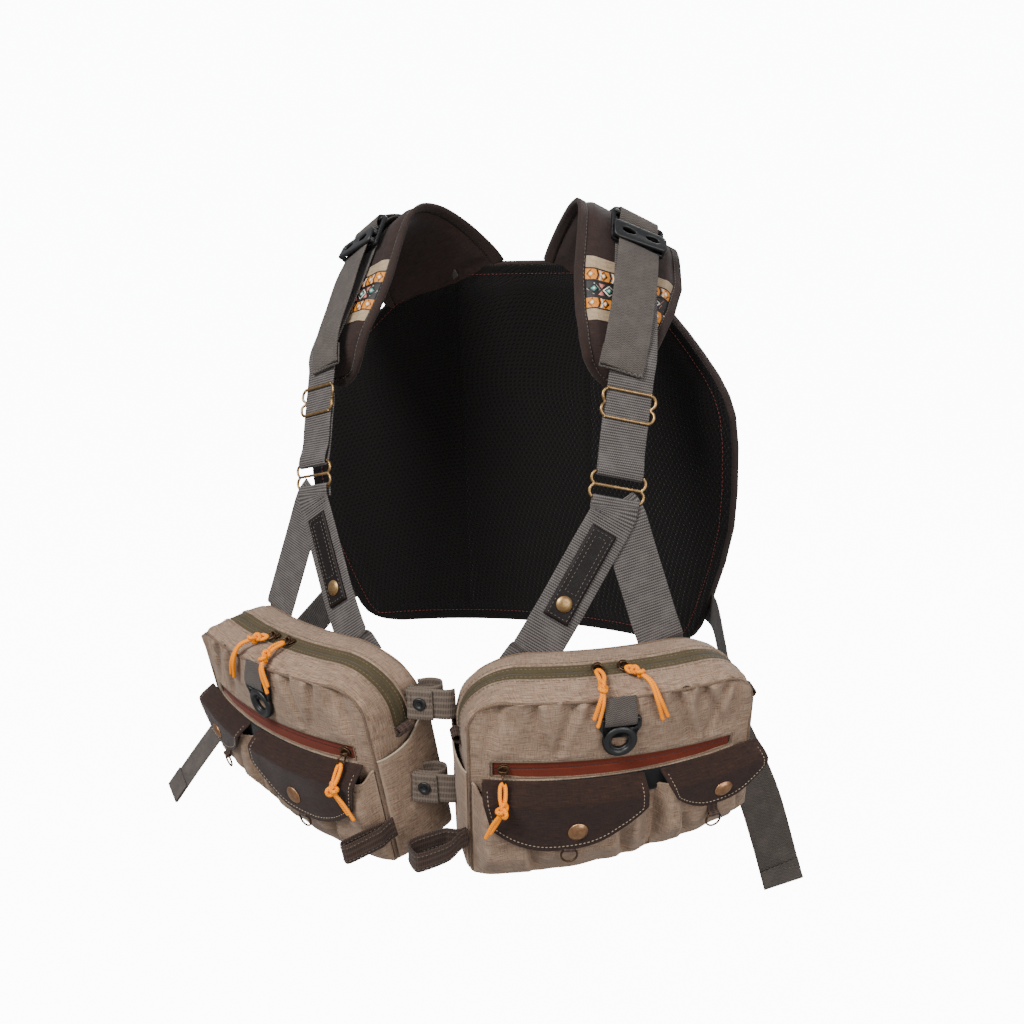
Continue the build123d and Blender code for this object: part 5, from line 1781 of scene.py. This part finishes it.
def belts(side):
    """Waist belt from the back panel to the bag, and its free tail."""
    along = np.array((219.0, -10.0, 84.0)) - np.array((191.0, 88.0, 127.0))
    across = unit(np.cross(np.cross(along, (0, 0, 1)), along))
    path = [(178, 104, 134), (191, 88, 127), (204, 44, 107), (213, 10, 92), (219, -10, 84), (221, -22, 79)]
    belt = make("waist_belt", side, WORLD, band(path, 60, across, WEBBING_WIDTH), WEBBING, None,
                ["waist_belt"] if side == "left" else ())
    start, end = mirrored((205, 40, 105), side), mirrored((221, -22, 79), side)
    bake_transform(belt)
    lie, side_dir = BELT_TAILS[side]
    side_dir = unit(side_dir)
    path = smooth_path([np.array(p) for p in lie], 110)
    make("belt_tail", side, WORLD, webbing(path, side_dir, WEBBING_WIDTH), WEBBING_FINE, f"belt_tail_{side}",
         [f"belt_tail_{side}"])
    tangent, _, normal = frames_along(path, side_dir)
    hem = [path[-14] + normal[-14] * 1.6, path[-8] + normal[-8] * 1.7, path[-2] + normal[-2] * 1.7,
           path[-1] + normal[-1] * 1.2 + tangent[-1] * 0.8]
    make("belt_tail_hem", side, WORLD, band(hem, 24, side_dir, 37.6, 1.4), WEBBING_FINE, f"belt_tail_{side}")
    rows = []
    for k in (-13, -11):
        for sign, lift in ((1, 2.5), (-1, 0.95)):
            place = path[k] + normal[k] * lift * sign
            rows.append(dashes([place + side_dir * t for t in np.linspace(-17, 17, 10)], 2.2, 1.2, 0.28))
    make("belt_tail_stitching", side, WORLD, join(*rows), THREAD_GREY, f"belt_tail_{side}")


def snap_socket(place, axis, radius):
    """Snap socket: a low ring round a sunk hole."""
    rim = ((1.0, -0.2), (1.0, 0.8), (0.88, 1.3), (0.52, 1.3), (0.44, 0.5), (0.05, 0.5))
    return lathe([(radius * k, level) for k, level in rim], place, axis)


CENTRE_HEIGHTS = {"upper": 131.0, "lower": 58.0}


def centre_straps():
    """Two snapping straps across the opening: the swinging halves and the fixed tabs."""
    for kind, height in CENTRE_HEIGHTS.items():
        body = f"centre_strap_{kind}"
        path = [(19.5, -155.5, 0), (15.5, -159.5, 0), (6, -160.8, 0), (-6, -161.2, 0), (-15.5, -161.2, 0),
                (-17.8, -162.4, -0.2), (-16.0, -164.2, -0.4), (-5, -163.6, -0.6), (3, -163.0, -0.4)]
        lean = np.array((0.0, 0.06, 1.0)) if kind == "upper" else np.array((0.03, 0.02, 1.0))
        cloth = band([(x, y, height + z) for x, y, z in path], 80, lean, 25.0, 1.3)
        make(f"centre_strap_{kind}", None, WORLD, cloth, WEBBING_STRIPED, body, [body])
        snap = snap_socket((-7.5, -164.3, height), (0, -1, 0), 5.4)
        make(f"centre_strap_{kind}_snap", None, WORLD, snap, PLASTIC, body)
        lines = [[(x, y, height + z) for z in np.linspace(-10.5, 10.5, 6)]
                 for x, y in ((-14.2, -164.9), (1.2, -163.8))]
        stitches = join(*[dashes(line, 2.0, 1.2, 0.22) for line in lines])
        make(f"centre_strap_{kind}_stitching", None, WORLD, stitches, THREAD_DARK, body)
        path = [(-19.5, -152.2, 0), (-14.5, -156.4, 0), (-6, -158.0, 1), (3, -157.4, 2), (8.0, -153.0, 3),
                (5.0, -147.6, 4), (-4.0, -146.4, 4), (-13.0, -149.0, 3)]
        cloth = band([(x, y, height + z) for x, y, z in path], 80, (0, -0.12, 1), 25.0, 1.3)
        make(f"centre_tab_{kind}", None, WORLD, cloth, WEBBING_STRIPED, "front_right",
             ["centre_tabs"] if kind == "upper" else ())


# ---------- back panel ----------

PANEL_TOP = 450.0
PANEL_CENTRE_Y = -228.0
# Half width of the panel at heights from its bottom edge up.
PANEL_HALF_WIDTHS = ((90, 138), (92, 151), (96, 161), (102, 168), (112, 174), (140, 184), (180, 196),
                     (215, 203.5), (250, 206), (290, 206), (318, 203), (335, 197), (352, 187), (370, 173),
                     (388, 158), (404, 143), (416, 130), (423, 118), (427, 104), (430, 93), (434, 84),
                     (440, 77), (446, 69), (450, 60))


def panel_half_width(z):
    """Half width of the back panel at height z, its corners softened."""
    return float(np.interp(z, *zip(*PANEL_HALF_WIDTHS)))


def panel_point(x, z, radius):
    return (x, PANEL_CENTRE_Y + math.sqrt(radius * radius - x * x), z)


def panel_sheet(radius, direction, puff, channels, inset=0.0):
    """Padded face of the back panel; channels are sewn lines that stay flat."""
    low, middle, high = np.linspace(90.5, 104, 8), np.linspace(104, 416, 115), np.linspace(416, PANEL_TOP, 20)
    zs = np.concatenate([low[:-1], middle, high[1:]])
    grid = []
    for z in zs:
        half = panel_half_width(z) - inset
        row = []
        for u in np.linspace(-1, 1, 150):
            x = half * u
            edge = min(half - abs(x), z - 90, PANEL_TOP + 0.5 - z)
            rise = puff * ease((edge - 7) / 16)
            for kind, place in channels:
                gap = abs((x if kind == "x" else z) - place)
                rise *= 1 - 0.8 * math.exp(-(gap / 3.2) ** 2)
            rise += 0.5 * wobble((x, 1, z), 26.0, 4.1) * ease(edge / 20)
            row.append(panel_point(x, z, radius + direction * rise))
        grid.append(row)
    return np.array(grid)


def panel_outline(radius, inset=0.0):
    """Closed path round the back panel's edge."""
    side = [(panel_half_width(z) - inset, z) for z in np.linspace(91 + inset, PANEL_TOP - 0.5 - inset, 150)]
    top = [(x, PANEL_TOP - inset) for x in np.linspace(side[-1][0], -side[-1][0], 24)[1:-1]]
    other = [(-x, z) for x, z in reversed(side)]
    bottom = [(x, 90.5 + inset) for x in np.linspace(-side[0][0], side[0][0], 50)[1:-1]]
    return np.array([panel_point(x, z, radius) for x, z in side + top + other + bottom])


def back_panel():
    cover_lines = [("x", -72.0), ("x", 72.0), ("z", 190.0)]
    mesh = panel_sheet(363.6, -1, 3.4, [("x", -66.0), ("x", 66.0)])
    make("back_air_mesh", None, WORLD, sheet(mesh, 2.0), AIR_MESH, "harness", ["back_air_mesh"])
    core = panel_sheet(371.0, 1, 0.0, [], inset=5.0)
    make("back_foam", None, WORLD, sheet(core, 7.0), FOAM, "harness", ["back_panel_foam"])
    cover = panel_sheet(376.4, 1, 2.4, cover_lines)
    make("back_cover", None, WORLD, sheet(cover[:, ::-1], 1.8), PAD_CLOTH, "harness", ["back_panel_cover"])
    path = panel_outline(370.2, -0.5)
    turns = np.linspace(0, 2 * math.pi, 14, endpoint=False)
    section = [(6.6 * math.cos(t), 3.0 * math.sin(t)) for t in turns]
    depth = path - np.array((0, PANEL_CENTRE_Y, 0))
    depth[:, 2] = 0
    depth = np.concatenate([depth[-2:], depth, depth[:2]])
    binding = sweep(path, section, across=depth, closed=True)
    make("back_binding", None, WORLD, binding, BINDING, "harness")
    red = dashes(panel_outline(361.9, 8.5), 2.6, 1.3, 0.34, closed=True)
    make("back_mesh_stitching", None, WORLD, red, THREAD_RED, "harness")
    rear = [dashes(panel_outline(379.4, 8.0), 2.6, 1.3, 0.3, closed=True)]
    for kind, place in cover_lines:
        if kind == "x":
            line = [panel_point(place, z, 378.6) for z in np.linspace(110, 425, 84)]
        else:
            line = [panel_point(x, place, 378.6) for x in np.linspace(-185, 185, 80)]
        rear.append(dashes(line, 2.6, 1.3, 0.3))
    make("back_cover_stitching", None, WORLD, join(*rear), THREAD_GREY, "harness")


# ---------- build ----------

THREAD_GOLD = thread("thread_gold", (206, 124, 28))
THREAD_INK = thread("thread_ink", (22, 14, 12))
THREAD_WHITE = thread("thread_white", (222, 214, 200))
THREAD_TEAL = thread("thread_teal", (70, 140, 128))
THREAD_ROSE = thread("thread_rose", (196, 112, 96))
BAND_BEIGE = heather("band_beige", (146, 126, 100), (112, 92, 70), (170, 150, 124), (120, 100, 74), 1.0, 0.8)

for side in SIDES:
    build_bag(side)
    pulls(side)
    tool_ring(side)
    ring_tab(side)
    small_rings(side)
    side_pocket(side)
    end_tab(side)
    rod_loop(side)
    shoulder_pad(side)
    load_strap(side)
    glides(side)
    shoulder_lock(side)
    v_strap(side)
    belts(side)
centre_straps()
back_panel()

NODE_LOOKS = {"snap_studs": SNAP}
for name, obj in frame["nodes"].items():
    for prefix, material in NODE_LOOKS.items():
        if name.startswith(prefix):
            obj.data.materials.clear()
            obj.data.materials.append(material)


# ---------- stage ----------

# Brightness of the floor and the world where the camera sees them.
BACKDROP = 12.0


def floor():
    """Large floor that the camera sees as white."""
    mesh = bpy.data.meshes.new("floor")
    size, low = 6.0, -0.4
    corners = [(-size, -size, low), (size, -size, low), (size, size, low), (-size, size, low)]
    mesh.from_pydata(corners, [], [(0, 1, 2, 3)])
    obj = bpy.data.objects.new("floor", mesh)
    bpy.context.scene.collection.objects.link(obj)
    g = Graph("floor")
    g.set("Base Color", (0.3, 0.3, 0.3, 1))
    g.set("Roughness", 0.9)
    g.set("Emission Color", (1, 1, 1, 1))
    g.set("Emission Strength", g.math("MULTIPLY", g.node("LightPath").outputs["Is Camera Ray"], BACKDROP))
    mesh.materials.append(g.material)


def area_light(name, place, target, size, power):
    data = bpy.data.lights.new(name, "AREA")
    data.shape = "DISK"
    data.size = size
    data.energy = power
    obj = bpy.data.objects.new(name, data)
    obj.location = place
    obj.rotation_euler = (Vector(target) - Vector(place)).to_track_quat("-Z", "Y").to_euler()
    bpy.context.scene.collection.objects.link(obj)


def camera():
    azimuth, elevation, roll = math.radians(17.3), math.radians(15.4), math.radians(-2.0)
    level = math.cos(elevation)
    back = Vector((math.sin(azimuth) * level, -math.cos(azimuth) * level, math.sin(elevation)))
    right = Vector((math.cos(azimuth), math.sin(azimuth), 0))
    up = back.cross(right)
    right, up = right * math.cos(roll) + up * math.sin(roll), up * math.cos(roll) - right * math.sin(roll)
    data = bpy.data.cameras.new("camera")
    data.sensor_fit = "HORIZONTAL"
    data.angle = math.radians(48.903)
    obj = bpy.data.objects.new("camera", data)
    place = Vector((0.3078, -0.9153, 0.5079))
    obj.matrix_world = Matrix.Translation(place) @ Matrix((right, up, back)).transposed().to_4x4()
    bpy.context.scene.collection.objects.link(obj)
    bpy.context.scene.camera = obj


def world():
    """Soft ambient light, near white where the camera sees it."""
    w = bpy.data.worlds.new("world")
    bpy.context.scene.world = w
    w.use_nodes = True
    nodes, links = w.node_tree.nodes, w.node_tree.links
    background = nodes["Background"]
    background.inputs[0].default_value = (0.95, 0.97, 1.0, 1)
    seen = nodes.new("ShaderNodeMath")
    seen.operation = "MULTIPLY_ADD"
    links.new(nodes.new("ShaderNodeLightPath").outputs["Is Camera Ray"], seen.inputs[0])
    seen.inputs[1].default_value = BACKDROP
    seen.inputs[2].default_value = 0.6
    links.new(seen.outputs[0], background.inputs[1])


floor()
area_light("key", (-0.7, -1.8, 2.2), (0, -0.1, 0.15), 1.1, 116)
area_light("fill", (1.8, -1.3, 1.0), (0, 0, 0.15), 1.6, 38)
area_light("rim", (0.2, 1.8, 1.8), (0, 0, 0.3), 1.4, 34)
camera()
world()
